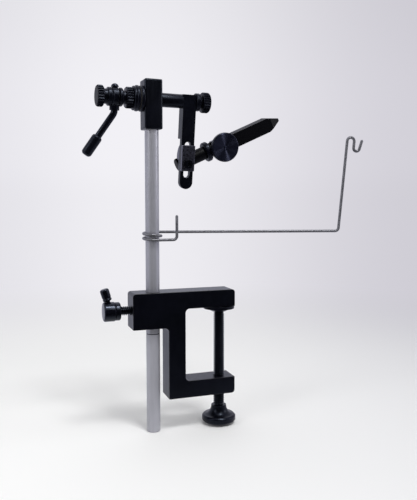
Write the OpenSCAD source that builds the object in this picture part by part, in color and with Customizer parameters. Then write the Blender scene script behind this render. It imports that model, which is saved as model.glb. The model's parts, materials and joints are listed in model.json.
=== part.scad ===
// Rotary fly tying vise on a C-clamp, with a bobbin cradle on its post.
// Origin: centre of the post's bottom end, on the surface that the vise stands on.
// +Z is up along the post, +X runs from the post towards the jaws, -Y is the front.

/* [Clamp frame] */
// Thickness of the frame from front to back
clamp_t = 17.5; // [15:0.5:22]
// Height of the frame's underside above the standing surface
clamp_base_z = 23.8; // [20:0.2:30]
// Height of the lower arm
lower_arm_h = 11.9; // [10:0.1:16]
// Clear opening between the two arms
throat_h = 51.3; // [35:0.1:70]
// Height of the upper arm
upper_arm_h = 12.1; // [10:0.1:16]
// Height of the block that holds the post
post_block_h = 24.9; // [20:0.1:40]
// Reach of the post block behind the post's axis
post_block_reach = 15.9; // [12:0.1:20]
// Distance from the post's axis to the upright of the frame
upright_x = 9.2; // [8:0.1:14]
// Width of the upright
upright_w = 12.1; // [10:0.1:18]
// Depth of the throat, from the upright to the arms' ends
throat_depth = 36.9; // [30:0.1:60]
// Distance from the arms' ends to the clamp screw's axis
screw_inset = 9.1; // [8:0.1:12]
// Radius of the outer corners
frame_corner_r = 2.2; // [1:0.1:4]
// Radius of the inner corners
frame_fillet_r = 3; // [1:0.1:4]

/* [Clamp screw] */
// Outside diameter of the clamp screw's thread
clamp_screw_d = 7.9; // [7:0.1:9]
// Pitch of the clamp screw
clamp_screw_pitch = 1.41; // [1.25:0.01:2]
// Diameter of the hand knob
hand_knob_d = 24.5; // [20:0.5:34]
// Height of the hand knob's rim
hand_knob_rim_h = 5.2; // [4:0.1:8]
// Diameter of the foot under the hand knob
hand_knob_foot_d = 13; // [10:0.5:19]
// Height of the foot under the hand knob
hand_knob_foot_h = 1.4; // [1:0.1:2]
// Diameter of the hand knob's hub
hand_knob_hub_d = 10.9; // [10:0.1:13]
// Height of the hub above the rim
hand_knob_hub_h = 6.9; // [4:0.1:9]
// Diameter of the swivel pad
pad_d = 22.4; // [16:0.1:24]
// Height of the swivel pad's rim
pad_rim_h = 2; // [1.5:0.1:3]
// Height of the cone under the pad's rim
pad_cone_h = 2.3; // [1.5:0.1:3]
// Gap that is left under the upper arm when the clamp is closed
pad_gap = 0.3; // [0.2:0.1:1]

/* [Post] */
// Diameter of the post
post_d = 9.53; // [8:0.01:10]
// Length of the lower post section
post_lower_l = 70; // [60:1:72]
// Height of the rotary axis above the standing surface
axis_z = 230.6; // [200:0.1:280]
// Diameter of the stud that joins the two post sections
joint_stud_d = 5; // [4:0.1:5.5]
// Length of the joining stud
joint_stud_l = 20; // [12:1:24]

/* [Lock screw] */
// Outside diameter of the lock screw's thread
lock_screw_d = 6.35; // [5:0.05:7]
// Pitch of the lock screw
lock_screw_pitch = 1.27; // [1:0.01:1.5]
// Height of the lock screw's axis above the post block's underside
lock_screw_rise = 12.5; // [9:0.1:16]
// Diameter of the lock screw's barrel head
lock_head_d = 13.4; // [11:0.1:16]
// Length of the barrel head's wide part
lock_head_l = 8.1; // [7:0.1:12]
// Length of the barrel head's shoulder
lock_shoulder_l = 3.4; // [2:0.1:5]
// Distance from the clamp frame to the barrel head's shoulder
lock_head_gap = 7.2; // [4:0.1:9]
// Diameter of the lever in the barrel head
lever_d = 6.2; // [5:0.1:7]
// Height of the lever's end above the lock screw's axis
lever_rise = 15.6; // [13:0.1:24]
// Lean of the lever away from the post
lever_lean = 17; // [0:1:25]

/* [Head] */
// Width of the head block along the shaft
head_w = 12.7; // [12:0.1:16]
// Depth of the head block
head_depth = 12.7; // [12:0.1:16]
// Height of the head block above the rotary axis
head_above = 12.9; // [10:0.1:18]
// Height of the head block below the rotary axis
head_below = 20.6; // [16:0.1:28]
// Turn of the head about the post
head_swing = 3; // [0:1:20]
// Lean of the rotary arm about the shaft
rotary_lean = 8.5; // [0:0.5:20]

/* [Rotary shaft and arm] */
// Diameter of the exposed shaft
shaft_d = 9.53; // [8.6:0.01:10]
// Diameter of the shaft's journal and ends
journal_d = 6.35; // [5:0.05:6.6]
// Distance from the post's axis to the arm
arm_x = 21.8; // [14:0.1:30]
// Width of the arm, along the shaft
arm_w = 9.53; // [8.6:0.01:12]
// Depth of the arm's upper part
arm_depth = 8; // [7.6:0.1:10]
// Depth of the arm's thin lower part
arm_thin = 3.6; // [3:0.1:4]
// Height of the arm's top above the shaft's axis
arm_top = 4.8; // [4.4:0.1:8]
// Distance from the shaft's axis down to the arm's step
arm_step = 25.6; // [16:0.1:26]
// Distance from the shaft's axis down to the arm's end
arm_end = 60.4; // [58:0.1:70]
// Width of the slot in the arm
slot_w = 4.6; // [4.3:0.1:5.5]
// Distance from the shaft's axis down to the slot's top
slot_top = 27.3; // [26.5:0.1:29]
// Length of the slot
slot_l = 25.1; // [22:0.1:27]

/* [Thumb nuts and drag] */
// Diameter of the thumb nuts' knurled heads
nut_head_d = 14.1; // [12:0.1:16]
// Diameter of the thumb nuts' collars
nut_collar_d = 12.3; // [11:0.1:13]
// Number of ridges round a knurled head
nut_ridges = 24; // [18:1:32]
// Diameter of the drag discs
drag_disc_d = 17.3; // [16:0.1:20]
// Thickness of the brake flange on the head
brake_flange_t = 2.2; // [1.5:0.1:3]
// Thickness of the friction washer
friction_washer_t = 0.8; // [0.5:0.1:1.5]
// Thickness of the pressure disc
pressure_disc_t = 4; // [3:0.1:5]
// Length of the drag nut's knurled head
drag_nut_head_l = 4.8; // [4:0.1:6]
// Length of the drag nut's neck
drag_nut_neck_l = 2.1; // [1.5:0.1:3]
// Length of the drag nut's collar
drag_nut_collar_l = 2.4; // [1.5:0.1:4]

/* [Crank] */
// Thickness of the crank hub along the shaft
hub_t = 4.2; // [3.5:0.1:6]
// Diameter of the crank hub
hub_d = 12.6; // [11:0.1:14]
// Diameter of the socket that holds the crank rod
hub_socket_d = 6.6; // [6:0.1:8]
// Distance from the shaft's axis to the socket's mouth
hub_socket_reach = 8.8; // [8:0.1:11]
// Length of the crank nut's collar
crank_nut_collar_l = 3.1; // [2:0.1:5]
// Length of the crank nut's neck
crank_nut_neck_l = 2.6; // [1.5:0.1:3]
// Length of the crank nut's knurled head
crank_nut_head_l = 4.4; // [4:0.1:6]
// Diameter of the crank rod
rod_d = 4.6; // [3.5:0.1:5]
// Angle of the crank rod away from the head
rod_lean = 33.8; // [15:0.1:50]
// Bend radius of the crank rod
rod_bend_r = 6; // [5:0.1:10]
// Length of the straight rod from its bend to its end
rod_l = 33; // [28:0.5:50]
// Diameter of the crank grip
grip_d = 7; // [6:0.1:9]
// Length of the crank grip
grip_l = 15.2; // [12:0.1:20]

/* [Arm nut] */
// Length of the arm nut's collar
arm_nut_collar_l = 3.3; // [2:0.1:5]
// Length of the arm nut's neck
arm_nut_neck_l = 1.6; // [1:0.1:3]
// Length of the arm nut's knurled head
arm_nut_head_l = 5.4; // [4:0.1:7]
// Height of the dome on the arm nut
arm_nut_dome_h = 1.4; // [0.8:0.1:2]

/* [Slider] */
// Distance from the shaft's axis down to the tilt screw
tilt_screw_drop = 42.6; // [38:0.1:44]
// Height of the slider's plate and saddle
slider_h = 17.8; // [15:0.1:18]
// Distance that the slider's centre stands above the tilt screw
slider_rise = 4; // [2:0.1:4]
// Thickness of the slider's front plate
plate_t = 2.3; // [1.8:0.1:3]
// Depth of the saddle behind the arm
saddle_depth = 4.9; // [4:0.1:6]
// Wall between the arm and the jaw shank
saddle_web = 0.6; // [0.5:0.1:1.5]
// Diameter of the tilt screw
tilt_screw_d = 4; // [3:0.1:4]
// Diameter of the tilt screw's head
tilt_head_d = 6.3; // [5.5:0.1:8]
// Height of the tilt screw's head
tilt_head_h = 1.3; // [1:0.1:2]

/* [Jaws] */
// Rise of the jaws above the horizontal
jaw_angle = 25; // [0:1:40]
// Diameter of the jaw shank
shank_d = 9.53; // [8:0.01:10]
// Length of the shank behind the tilt screw
shank_tail = 4.8; // [4:0.1:12]
// Distance from the tilt screw to the jaw collar
collar_s = 18; // [14:0.1:24]
// Diameter of the jaw collar
collar_d = 14.4; // [13:0.1:18]
// Length of the jaw collar
collar_l = 3.9; // [3:0.1:6]
// Distance from the tilt screw to the jaws' root
jaw_root_s = 23.2; // [22:0.1:28]
// Distance from the tilt screw to the jaw knob's axis
jaw_knob_s = 31; // [30.8:0.1:36]
// Distance from the tilt screw to the beak's shoulders
beak_s = 71.6; // [60:0.1:90]
// Length of the beak
beak_l = 10.6; // [8:0.1:14]
// Height of a jaw
jaw_h = 10.5; // [8:0.1:12]
// Drop of the jaws' centre line below the shank's axis
jaw_drop = 0.5; // [0:0.1:1]
// Thickness of one jaw
jaw_t = 4; // [3.5:0.1:5]
// Height of the beak's blunt tip
tip_h = 2; // [1:0.1:3]
// Thickness of one jaw at the tip
tip_t = 1.1; // [0.8:0.1:2]
// Diameter of the jaw knob
jaw_knob_d = 20.8; // [16:0.1:26]
// Thickness of the jaw knob at its rim
jaw_knob_t = 3.4; // [2.5:0.1:5]

/* [Bobbin cradle] */
// Diameter of the cradle wire
wire_d = 1.75; // [1.2:0.05:2.4]
// Height of the lowest wire of the cradle
cradle_z = 135.2; // [110:0.1:180]
// Rise of the coil in one turn
coil_pitch = 3.3; // [2.6:0.1:5]
// Turn of the cradle's arm towards the front
cradle_swing = 13; // [0:1:40]
// Length of the cradle's arm
cradle_arm_l = 134.5; // [90:0.5:170]
// Height of the cradle's riser
cradle_riser_h = 65; // [40:1:90]
// Lean of the riser away from the post
riser_lean = 5; // [0:1:15]
// Length of the short tail along the clamp
tail_l = 15.9; // [12:0.1:25]
// Height of the short tail's upright end
tail_rise = 17; // [10:0.1:30]

/* [Hidden] */

// Radial clearance of every running fit
run = 0.05;
// Gap between faces of neighbouring pieces that move past each other
gap = 0.1;
// Overrun of every cut beyond the surface that it opens
over = 1;
// Segments of the wide and of the narrow round surfaces
fine = 96;
small = 48;

// Heights of the clamp frame
lower_top = clamp_base_z + lower_arm_h;
upper_base = lower_top + throat_h;
frame_top = upper_base + upper_arm_h;
block_base = frame_top - post_block_h;
frame_end_x = upright_x + upright_w + throat_depth;
clamp_screw_x = frame_end_x - screw_inset;
lock_z = block_base + lock_screw_rise;

// Clamp screw: depth of its thread, its journal in the pad and their lengths
thread_depth = 0.75;
pad_top = upper_base - pad_gap;
pad_base = pad_top - pad_rim_h - pad_cone_h;
pad_cone_top_d = 18;
pad_cone_base_d = 9.3;
pad_journal_d = 5;
pad_journal_l = 3;
hand_knob_z = hand_knob_foot_h + hand_knob_rim_h;
hand_knob_top = hand_knob_z + hand_knob_hub_h;
hand_knob_edge = 1.1;
hand_knob_neck_share = 0.82;
hand_knob_seat_d = 6;

// Lock screw: its soft tip, the shoulder of its head and the lever's neck
lock_tip_l = 3;
lock_tip_d = 4.6;
lock_thread_depth = 0.6;
lock_shoulder_d = 12.6;
lock_edge = 0.7;
lever_neck_d = 4.4;
lever_neck_l = 0.2;
lever_pin_d = 3;
lever_pin_l = 3.5;
lever_edge = 0.8;
lever_seat_share = 0.33;
lever_foot = (lock_head_d + lever_neck_d*sin(lever_lean))/(2*cos(lever_lean)) + gap;
lock_head_x = -post_block_reach - lock_head_gap;

// Post: the seam between its two sections and where it stops in the head
post_seam_w = 0.5;
post_seam_depth = 0.45;
post_edge = 0.5;
post_stop = 6.8;
post_top = axis_z - post_stop;

// Head: rounding of its edges and its set screw
head_edge_r = 1.8;
head_top_r = 1.6;
set_screw_d = 4;
set_screw_drop = 14;
set_screw_hex = 2;
set_screw_hex_depth = 1.8;

// Bushes in the head
bush_d = 8.4;
bush_gap = 0.4;

// Left stack on the shaft, from the head outwards, as distances from the post's axis
brake_x = head_w/2;
washer_x = brake_x + brake_flange_t;
pressure_x = washer_x + friction_washer_t + gap/2;
drag_nut_x = pressure_x + pressure_disc_t + gap/2;
drag_nut_l = drag_nut_head_l + drag_nut_neck_l + drag_nut_collar_l;
drag_nut_end = drag_nut_x + drag_nut_l;
drag_travel = 0.5;
hub_x = drag_nut_end + drag_travel;
crank_nut_x = hub_x + hub_t + gap/2;
crank_nut_l = crank_nut_collar_l + crank_nut_neck_l + crank_nut_head_l;
crank_nut_end = crank_nut_x + crank_nut_l;
pressure_step_d = 16.2;
pressure_step_share = 0.45;

// Thumb nuts: their necks, ridges and edges
drag_neck_d = 8.9;
crank_neck_d = 10;
arm_neck_d = 7.8;
ridge_depth = 0.7;
nut_edge = 0.7;
collar_edge = 0.5;
nut_wall = 2;

// Right end of the shaft
arm_far_x = arm_x + arm_w;
arm_nut_x = arm_far_x + gap/2;
stud_d = 3.8;
stud_l = 9;

// Crank: the rod's seat below the nuts' collars, its bend, and its set screw with a domed head
hub_mid_x = hub_x + hub_t/2;
rod_seat_z = 4.6;
rod_shoulder_z = nut_collar_d/2 + gap;
rod_tenon_d = 3;
rod_corner_z = hub_socket_reach + 1.6;
bend_tangent = rod_bend_r*tan(rod_lean/2);
crank_screw_d = 3;
crank_screw_head_d = 5.2;
crank_screw_head_h = 2.4;
grip_overlap = 1.2;
grip_edge = 0.9;
grip_start = rod_l - grip_l + grip_overlap;

// Arm: its front face, and the slot's centre
arm_front = -arm_depth/2;
arm_thin_back = arm_front + arm_thin;
arm_mid_x = arm_x + arm_w/2;

// Slider and jaws, measured from the tilt screw's axis
plate_front = arm_front - plate_t - gap/2;
saddle_front = arm_thin_back + gap/2;
jaw_y = saddle_front + saddle_web + shank_d/2;
saddle_arc_r = (pow(slider_h/2, 2) + pow(saddle_depth, 2))/(2*saddle_depth);
tilt_screw_depth = 7.4;
tilt_socket_d = 3;
tilt_socket_depth = 0.9;
knurl_depth = 0.5;
knurl_l = 2.4;
knurl_ridges = 24;

// Jaws: the split between them, the fork and its pin, the spring and the knob
split = 0.1;
fork_d = 10.4;
tongue_h = 4.2;
pin_d = 2.4;
pin_head_d = 3.8;
pin_head_h = 0.9;
pin_wall = 1.2;
pin_s = jaw_root_s + pin_d;
pin_y = -jaw_t/2 - split/2;
fork_end = pin_s + pin_d/2 + pin_wall;
bar_start = fork_end + 3*gap;
jaw_screw_d = 4;
jaw_screw_hole_d = 5.2;
jaw_washer_d = 8;
jaw_washer_t = 2.1;
jaw_knob_dish = 0.9;
jaw_knob_cone = 1.2;
jaw_knob_centre_d = 3.4;
spring_seat_d = 7.4;
spring_seat_depth = 2.2;
spring_wire_d = 0.7;
spring_turns = 3;
spring_side_gap = 0.3;
tail_d = 6;
beak_back_share = 0.28;

// Cradle: the coil's radius, the bends and the loops at the end
coil_clear = 0.38;
coil_r = post_d/2 + coil_clear + wire_d/2;
wire_bend_r = 2.6;
coil_start = -90;
coil_end = -360 + 90 - cradle_swing - 360;
coil_sweep = coil_start - coil_end;
coil_rise = coil_pitch*coil_sweep/360;
loop_r = 2.6;
loop_drop = 4.6;
hook_r = 2.2;
hook_end_l = 7;
hook_lean = 12;
wire_sides = 8;
rings_per_loop = 24;
bend_steps = 6;

// Round pieces are turned about +Z and then laid along +X
module lay_x() {
    rotate([0, 90, 0])
        children();
}

// The head's own frame: origin on the rotary axis, x along the shaft
module head_frame() {
    translate([0, 0, axis_z])
        rotate([0, 0, head_swing])
            children();
}

// The rotary frame: the head's frame, leaned about the shaft
module rotary_frame() {
    head_frame()
        rotate([rotary_lean, 0, 0])
            children();
}

// The slider's frame: origin where the tilt screw's axis meets the jaw shank's axis
module slider_frame() {
    rotary_frame()
        translate([arm_mid_x, jaw_y, -tilt_screw_drop])
            children();
}

// The jaws' frame: x along the jaws
module jaw_frame() {
    slider_frame()
        rotate([0, -jaw_angle, 0])
            children();
}

// A rectangle with round corners, centred
module round_rect(w, h, r) {
    square([w - 2*r, h], center = true);
    square([w, h - 2*r], center = true);
    for (x = [-1, 1]) {
        for (y = [-1, 1]) {
            translate([x*(w/2 - r), y*(h/2 - r)])
                circle(r, $fn = small);
        }
    }
}

// A disc with chamfered edges, from z = 0 up
module bevelled_disc(d, h, edge) {
    rotate_extrude($fn = fine)
        polygon([[0, 0], [d/2 - edge, 0], [d/2, edge], [d/2, h - edge], [d/2 - edge, h], [0, h]]);
}

// A disc with straight ridges round it, chamfered at both ends
module ridged_disc(d, h, edge, ridges, depth) {
    intersection() {
        linear_extrude(h)
            polygon([for (i = [0:2*ridges - 1])
                let (r = d/2 - (i % 2)*depth, a = 180*i/ridges) [r*cos(a), r*sin(a)]]);
        bevelled_disc(d, h, edge);
    }
}

// A rod with thread ridges, from z = 0 up
module threaded_rod(d, h, pitch, depth) {
    turns = floor((h - depth)/pitch);
    rotate_extrude($fn = small)
        polygon(concat(
            [[0, 0], [d/2 - depth, 0]],
            [for (i = [0:turns - 1]) each [[d/2 - depth, (i + 1/4)*pitch], [d/2, (i + 1/2)*pitch],
                                           [d/2, (i + 3/4)*pitch], [d/2 - depth, (i + 1)*pitch]]],
            [[d/2 - depth, h], [0, h]]));
}

// A thumb nut from z = 0 up: collar, neck and knurled head
module thumb_nut(collar_l, neck_d, neck_l, head_l) {
    bevelled_disc(nut_collar_d, collar_l, collar_edge);
    cylinder(d = neck_d, h = collar_l + neck_l + nut_edge, $fn = small);
    translate([0, 0, collar_l + neck_l])
        ridged_disc(nut_head_d, head_l, nut_edge, nut_ridges, ridge_depth);
}

// Points of a circular arc about c in the plane of the unit vectors u and v, from angle a to b
function arc_points(c, u, v, r, a, b, steps) =
    [for (i = [1:steps]) let (t = a + (b - a)*i/steps) c + r*cos(t)*u + r*sin(t)*v];

function unit(v) = v/norm(v);

// Direction of a path at point i
function path_direction(p, i) =
    unit(p[min(i + 1, len(p) - 1)] - p[max(i - 1, 0)]);

// The side vector carried along the path without twist
function carried_sides(p, i = 0, side = [0, 0, 1]) =
    let (d = path_direction(p, i), s = unit(side - (side*d)*d))
    i == len(p) - 1 ? [s] : concat([s], carried_sides(p, i + 1, s));

// A closed round tube along the points of a path
module tube(p, d, sides, first_side) {
    s = carried_sides(p, 0, first_side);
    n = len(p);
    rings = [for (i = [0:n - 1]) each
        let (w = cross(path_direction(p, i), s[i]))
        [for (k = [0:sides - 1]) p[i] + d/2*(cos(360*k/sides)*s[i] + sin(360*k/sides)*w)]];
    points = concat(rings, [p[0], p[n - 1]]);
    faces = concat(
        [for (i = [0:n - 2]) for (k = [0:sides - 1]) each
            let (a = i*sides + k, b = i*sides + (k + 1) % sides)
            [[a, a + sides, b + sides], [a, b + sides, b]]],
        [for (k = [0:sides - 1]) [n*sides, k, (k + 1) % sides]],
        [for (k = [0:sides - 1]) [n*sides + 1, (n - 1)*sides + (k + 1) % sides, (n - 1)*sides + k]]);
    polyhedron(points, faces);
}

// Outline of the C-shaped frame, x along the clamp and y up
module frame_outline() {
    difference() {
        translate([(frame_end_x - post_block_reach)/2, (frame_top + clamp_base_z)/2])
            round_rect(frame_end_x + post_block_reach, frame_top - clamp_base_z, frame_corner_r);
        frame_throat();
        frame_notch();
    }
    translate([(upright_x - post_block_reach)/2 + frame_corner_r, block_base + frame_corner_r])
        square([upright_x + post_block_reach - 2*frame_corner_r, 2*frame_corner_r], center = true);
}

// The throat between the arms, open to the right, with filleted inner corners
module frame_throat() {
    x = upright_x + upright_w;
    r = frame_fillet_r;
    translate([x + r, lower_top])
        square([throat_depth + over, throat_h]);
    translate([x, lower_top + r])
        square([2*r, throat_h - 2*r]);
    for (y = [lower_top + r, upper_base - r]) {
        translate([x + r, y])
            circle(r, $fn = small);
    }
}

// The notch below the post block, open to the left and below
module frame_notch() {
    r = frame_fillet_r;
    w = upright_x + post_block_reach;
    h = block_base - clamp_base_z;
    translate([-post_block_reach - over, clamp_base_z - over])
        square([w + over - r, h + over]);
    translate([-post_block_reach - over, clamp_base_z - over])
        square([w + over, h + over - r]);
    translate([upright_x - r, block_base - r])
        circle(r, $fn = small);
}

module clamp_frame() {
    color("#16161a")
        difference() {
            rotate([90, 0, 0])
                linear_extrude(clamp_t, center = true)
                    frame_outline();
            translate([0, 0, block_base - over])
                cylinder(d = post_d + 2*run, h = post_block_h + 2*over, $fn = fine);
            translate([-post_block_reach - over, 0, lock_z])
                lay_x()
                    cylinder(d = lock_screw_d + 2*run, h = post_block_reach + over, $fn = fine);
            translate([clamp_screw_x, 0, clamp_base_z - over])
                cylinder(d = clamp_screw_d + 2*run, h = lower_arm_h + 2*over, $fn = fine);
        }
}

module clamp_screw() {
    seat_z = hand_knob_z;
    color("#1c1c20")
        translate([clamp_screw_x, 0, 0]) {
            translate([0, 0, seat_z])
                cylinder(d = hand_knob_seat_d, h = hand_knob_top - seat_z + over, $fn = small);
            translate([0, 0, hand_knob_top])
                threaded_rod(clamp_screw_d, pad_base - gap - hand_knob_top, clamp_screw_pitch, thread_depth);
            translate([0, 0, pad_base - gap - over])
                cylinder(d = pad_journal_d, h = pad_journal_l + over, $fn = small);
        }
}

module hand_knob() {
    r = hand_knob_d/2;
    hub_r = hand_knob_hub_d/2;
    flare_r = (r - hub_r)*hand_knob_neck_share;
    color("#141418")
        translate([clamp_screw_x, 0, 0])
            difference() {
                union() {
                    cylinder(d = hand_knob_foot_d, h = hand_knob_foot_h + over, $fn = fine);
                    translate([0, 0, hand_knob_foot_h])
                        bevelled_disc(hand_knob_d, hand_knob_rim_h, hand_knob_edge);
                    rotate_extrude($fn = fine)
                        difference() {
                            translate([0, hand_knob_foot_h])
                                square([r - hand_knob_edge, hand_knob_rim_h + hand_knob_hub_h]);
                            translate([hub_r + flare_r, hand_knob_z + hand_knob_hub_h])
                                scale([flare_r, hand_knob_hub_h])
                                    circle(1, $fn = fine);
                            translate([hub_r + flare_r, hand_knob_z])
                                square([r, hand_knob_hub_h + over]);
                        }
                }
                translate([0, 0, hand_knob_z])
                    cylinder(d = hand_knob_seat_d, h = hand_knob_hub_h + over, $fn = small);
            }
}

module swivel_pad() {
    color("#17171b")
        translate([clamp_screw_x, 0, pad_base])
            difference() {
                union() {
                    translate([0, 0, pad_cone_h])
                        cylinder(d = pad_d, h = pad_rim_h, $fn = fine);
                    cylinder(d1 = pad_cone_base_d, d2 = pad_cone_top_d, h = pad_cone_h, $fn = fine);
                }
                translate([0, 0, -over])
                    cylinder(d = pad_journal_d + 2*run, h = pad_journal_l + over, $fn = small);
            }
}

module lock_tip() {
    color("#b08d3c")
        translate([-post_d/2 - run - lock_tip_l, 0, lock_z])
            lay_x()
                bevelled_disc(lock_tip_d, lock_tip_l, run);
}

module lock_screw() {
    start_x = lock_head_x;
    end_x = -post_d/2 - 2*run - lock_tip_l;
    color("#18181c")
        translate([start_x, 0, lock_z]) {
            lay_x()
                threaded_rod(lock_screw_d, end_x - start_x, lock_screw_pitch, lock_thread_depth);
            rotate([0, -90, 0])
                difference() {
                    union() {
                        bevelled_disc(lock_shoulder_d, lock_shoulder_l + lock_edge, lock_edge);
                        translate([0, 0, lock_shoulder_l])
                            bevelled_disc(lock_head_d, lock_head_l, lock_edge);
                    }
                    lever_place()
                        translate([0, 0, -over])
                            cylinder(d = lever_pin_d, h = lever_pin_l + over, $fn = small);
                }
        }
}

// The lever's seat on the barrel head, with z along the lever, in the head's frame
module lever_place() {
    translate([0, 0, lock_shoulder_l + lock_head_l*lever_seat_share])
        rotate([0, 90, 0])
            rotate([0, -lever_lean, 0])
                translate([0, 0, lever_foot - lever_pin_l])
                    children();
}

module lock_lever() {
    reach = lever_rise/cos(lever_lean) - lever_foot;
    color("#141418")
        translate([lock_head_x, 0, lock_z])
            rotate([0, -90, 0])
                lever_place() {
                    cylinder(d = lever_pin_d, h = lever_pin_l + over, $fn = small);
                    translate([0, 0, lever_pin_l])
                        cylinder(d = lever_neck_d, h = lever_neck_l + over, $fn = small);
                    translate([0, 0, lever_pin_l + lever_neck_l])
                        bevelled_disc(lever_d, reach - lever_neck_l, lever_edge);
                }
}

module post_lower() {
    color("#a4a4ac")
        difference() {
            rotate_extrude($fn = fine)
                polygon([[0, 0], [post_d/2 - post_edge, 0], [post_d/2, post_edge],
                         [post_d/2, post_lower_l - post_seam_w],
                         [post_d/2 - post_seam_depth, post_lower_l - post_seam_w],
                         [post_d/2 - post_seam_depth, post_lower_l], [0, post_lower_l]]);
            translate([0, 0, post_lower_l - joint_stud_l/2])
                cylinder(d = joint_stud_d, h = joint_stud_l, $fn = small);
        }
}

module post_upper() {
    color("#94949c")
        difference() {
            translate([0, 0, post_lower_l])
                cylinder(d = post_d, h = post_top - post_lower_l, $fn = fine);
            translate([0, 0, post_lower_l - joint_stud_l/2])
                cylinder(d = joint_stud_d, h = joint_stud_l, $fn = small);
        }
}

module post_joint_stud() {
    color("#8a8a90")
        translate([0, 0, post_lower_l - joint_stud_l/2])
            cylinder(d = joint_stud_d, h = joint_stud_l, $fn = small);
}

module head_block() {
    h = head_above + head_below;
    color("#131317")
        head_frame()
            difference() {
                translate([0, 0, (head_above - head_below)/2])
                    intersection() {
                        linear_extrude(h, center = true)
                            round_rect(head_w, head_depth, head_edge_r);
                        rotate([90, 0, 0])
                            linear_extrude(head_depth, center = true)
                                round_rect(head_w, h, head_top_r);
                        rotate([90, 0, 90])
                            linear_extrude(head_w, center = true)
                                round_rect(head_depth, h, head_top_r);
                    }
                translate([0, 0, -head_below - over])
                    cylinder(d = post_d + 2*run, h = head_below - post_stop + over, $fn = fine);
                translate([-head_w/2 - over, 0, 0])
                    lay_x()
                        cylinder(d = bush_d, h = head_w + 2*over, $fn = fine);
                translate([0, head_depth/2 + over, -set_screw_drop])
                    rotate([90, 0, 0])
                        cylinder(d = set_screw_d, h = head_depth/2 + over, $fn = small);
            }
}

module head_set_screw() {
    l = head_depth/2 - post_d/2 - 2*run;
    color("#2a2a2e")
        head_frame()
            translate([0, head_depth/2 - run, -set_screw_drop])
                rotate([90, 0, 0])
                    difference() {
                        cylinder(d = set_screw_d, h = l, $fn = small);
                        translate([0, 0, -over])
                            cylinder(d = set_screw_hex, h = set_screw_hex_depth/2 + over, $fn = 6);
                    }
}

// One half of the head's bush, with z into the head
module shaft_bush() {
    difference() {
        cylinder(d = bush_d, h = head_w/2 - bush_gap/2, $fn = fine);
        translate([0, 0, -over])
            cylinder(d = journal_d + 2*run, h = head_w + over, $fn = fine);
    }
}

module shaft_bush_left() {
    color("#a8783a")
        head_frame()
            translate([-head_w/2, 0, 0])
                lay_x()
                    shaft_bush();
}

module shaft_bush_right() {
    color("#a8783a")
        head_frame()
            translate([head_w/2, 0, 0])
                rotate([0, -90, 0])
                    shaft_bush();
}

// A piece of the left stack, with z pointing away from the head and a bore round the shaft
module left_stack(x, bore_l) {
    rotary_frame()
        translate([-x, 0, 0])
            rotate([0, -90, 0])
                difference() {
                    children();
                    translate([0, 0, -over])
                        cylinder(d = journal_d + 2*run, h = bore_l + over, $fn = fine);
                }
}

module brake_flange() {
    color("#1b1b20")
        left_stack(brake_x, brake_flange_t + over)
            bevelled_disc(drag_disc_d, brake_flange_t, collar_edge);
}

module friction_washer() {
    color("#3a2f28")
        left_stack(washer_x, friction_washer_t + over)
            cylinder(d = drag_disc_d - 2*collar_edge, h = friction_washer_t, $fn = fine);
}

module pressure_disc() {
    wide = pressure_disc_t*(1 - pressure_step_share);
    color("#1d1d22")
        left_stack(pressure_x, pressure_disc_t + over) {
            bevelled_disc(drag_disc_d, wide, collar_edge);
            bevelled_disc(pressure_step_d, pressure_disc_t, collar_edge);
        }
}

module drag_nut() {
    color("#18181d")
        left_stack(drag_nut_x, drag_nut_l + over)
            translate([0, 0, drag_nut_l])
                mirror([0, 0, 1])
                    thumb_nut(drag_nut_collar_l, drag_neck_d, drag_nut_neck_l, drag_nut_head_l);
}

module rotary_shaft() {
    start_x = crank_nut_end - nut_wall - gap;
    color("#222228")
        rotary_frame()
            difference() {
                union() {
                    translate([-start_x, 0, 0])
                        lay_x()
                            cylinder(d = journal_d, h = start_x + arm_far_x, $fn = fine);
                    translate([head_w/2 + gap, 0, 0])
                        lay_x()
                            cylinder(d = shaft_d, h = arm_x - head_w/2 - gap, $fn = fine);
                }
                translate([arm_far_x - stud_l - over, 0, 0])
                    lay_x()
                        cylinder(d = stud_d + 2*run, h = stud_l + 2*over, $fn = small);
            }
}

module crank_hub() {
    color("#16161a")
        rotary_frame()
            difference() {
                translate([-hub_mid_x, 0, 0])
                    union() {
                        translate([-hub_t/2, 0, 0])
                            lay_x()
                                bevelled_disc(hub_d, hub_t, collar_edge);
                        translate([0, 0, -hub_socket_reach])
                            cylinder(d = hub_socket_d, h = hub_socket_reach, $fn = small);
                    }
                for (x = [-hub_x, -hub_x - hub_t - hub_socket_d])
                    translate([x, 0, 0])
                        lay_x()
                            cylinder(d = 2*rod_shoulder_z, h = hub_socket_d, $fn = fine);
                translate([-hub_x - hub_t - over, 0, 0])
                    lay_x()
                        cylinder(d = journal_d, h = hub_t + 2*over, $fn = fine);
                translate([-hub_mid_x, 0, -hub_socket_reach - over]) {
                    cylinder(d = rod_d, h = hub_socket_reach - rod_shoulder_z + over, $fn = small);
                    cylinder(d = rod_tenon_d, h = hub_socket_reach - rod_seat_z + over, $fn = small);
                }
                translate([-hub_mid_x, 0, journal_d/2 - over])
                    cylinder(d = crank_screw_d, h = hub_d, $fn = small);
            }
}

module crank_set_screw() {
    head_r = crank_screw_head_d/2;
    color("#2a2a30")
        rotary_frame()
            translate([-hub_mid_x, 0, 0]) {
                translate([0, 0, journal_d/2])
                    cylinder(d = crank_screw_d, h = hub_d/2 - journal_d/2 + gap, $fn = small);
                translate([0, 0, hub_d/2])
                    rotate_extrude($fn = small)
                        intersection() {
                            translate([0, crank_screw_head_h - head_r])
                                circle(head_r, $fn = small);
                            square([head_r, crank_screw_head_h]);
                        }
            }
}

// The crank rod's corner, with -z along its outer length
module rod_corner() {
    rotary_frame()
        translate([-hub_mid_x, 0, -rod_corner_z])
            children();
}

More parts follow.
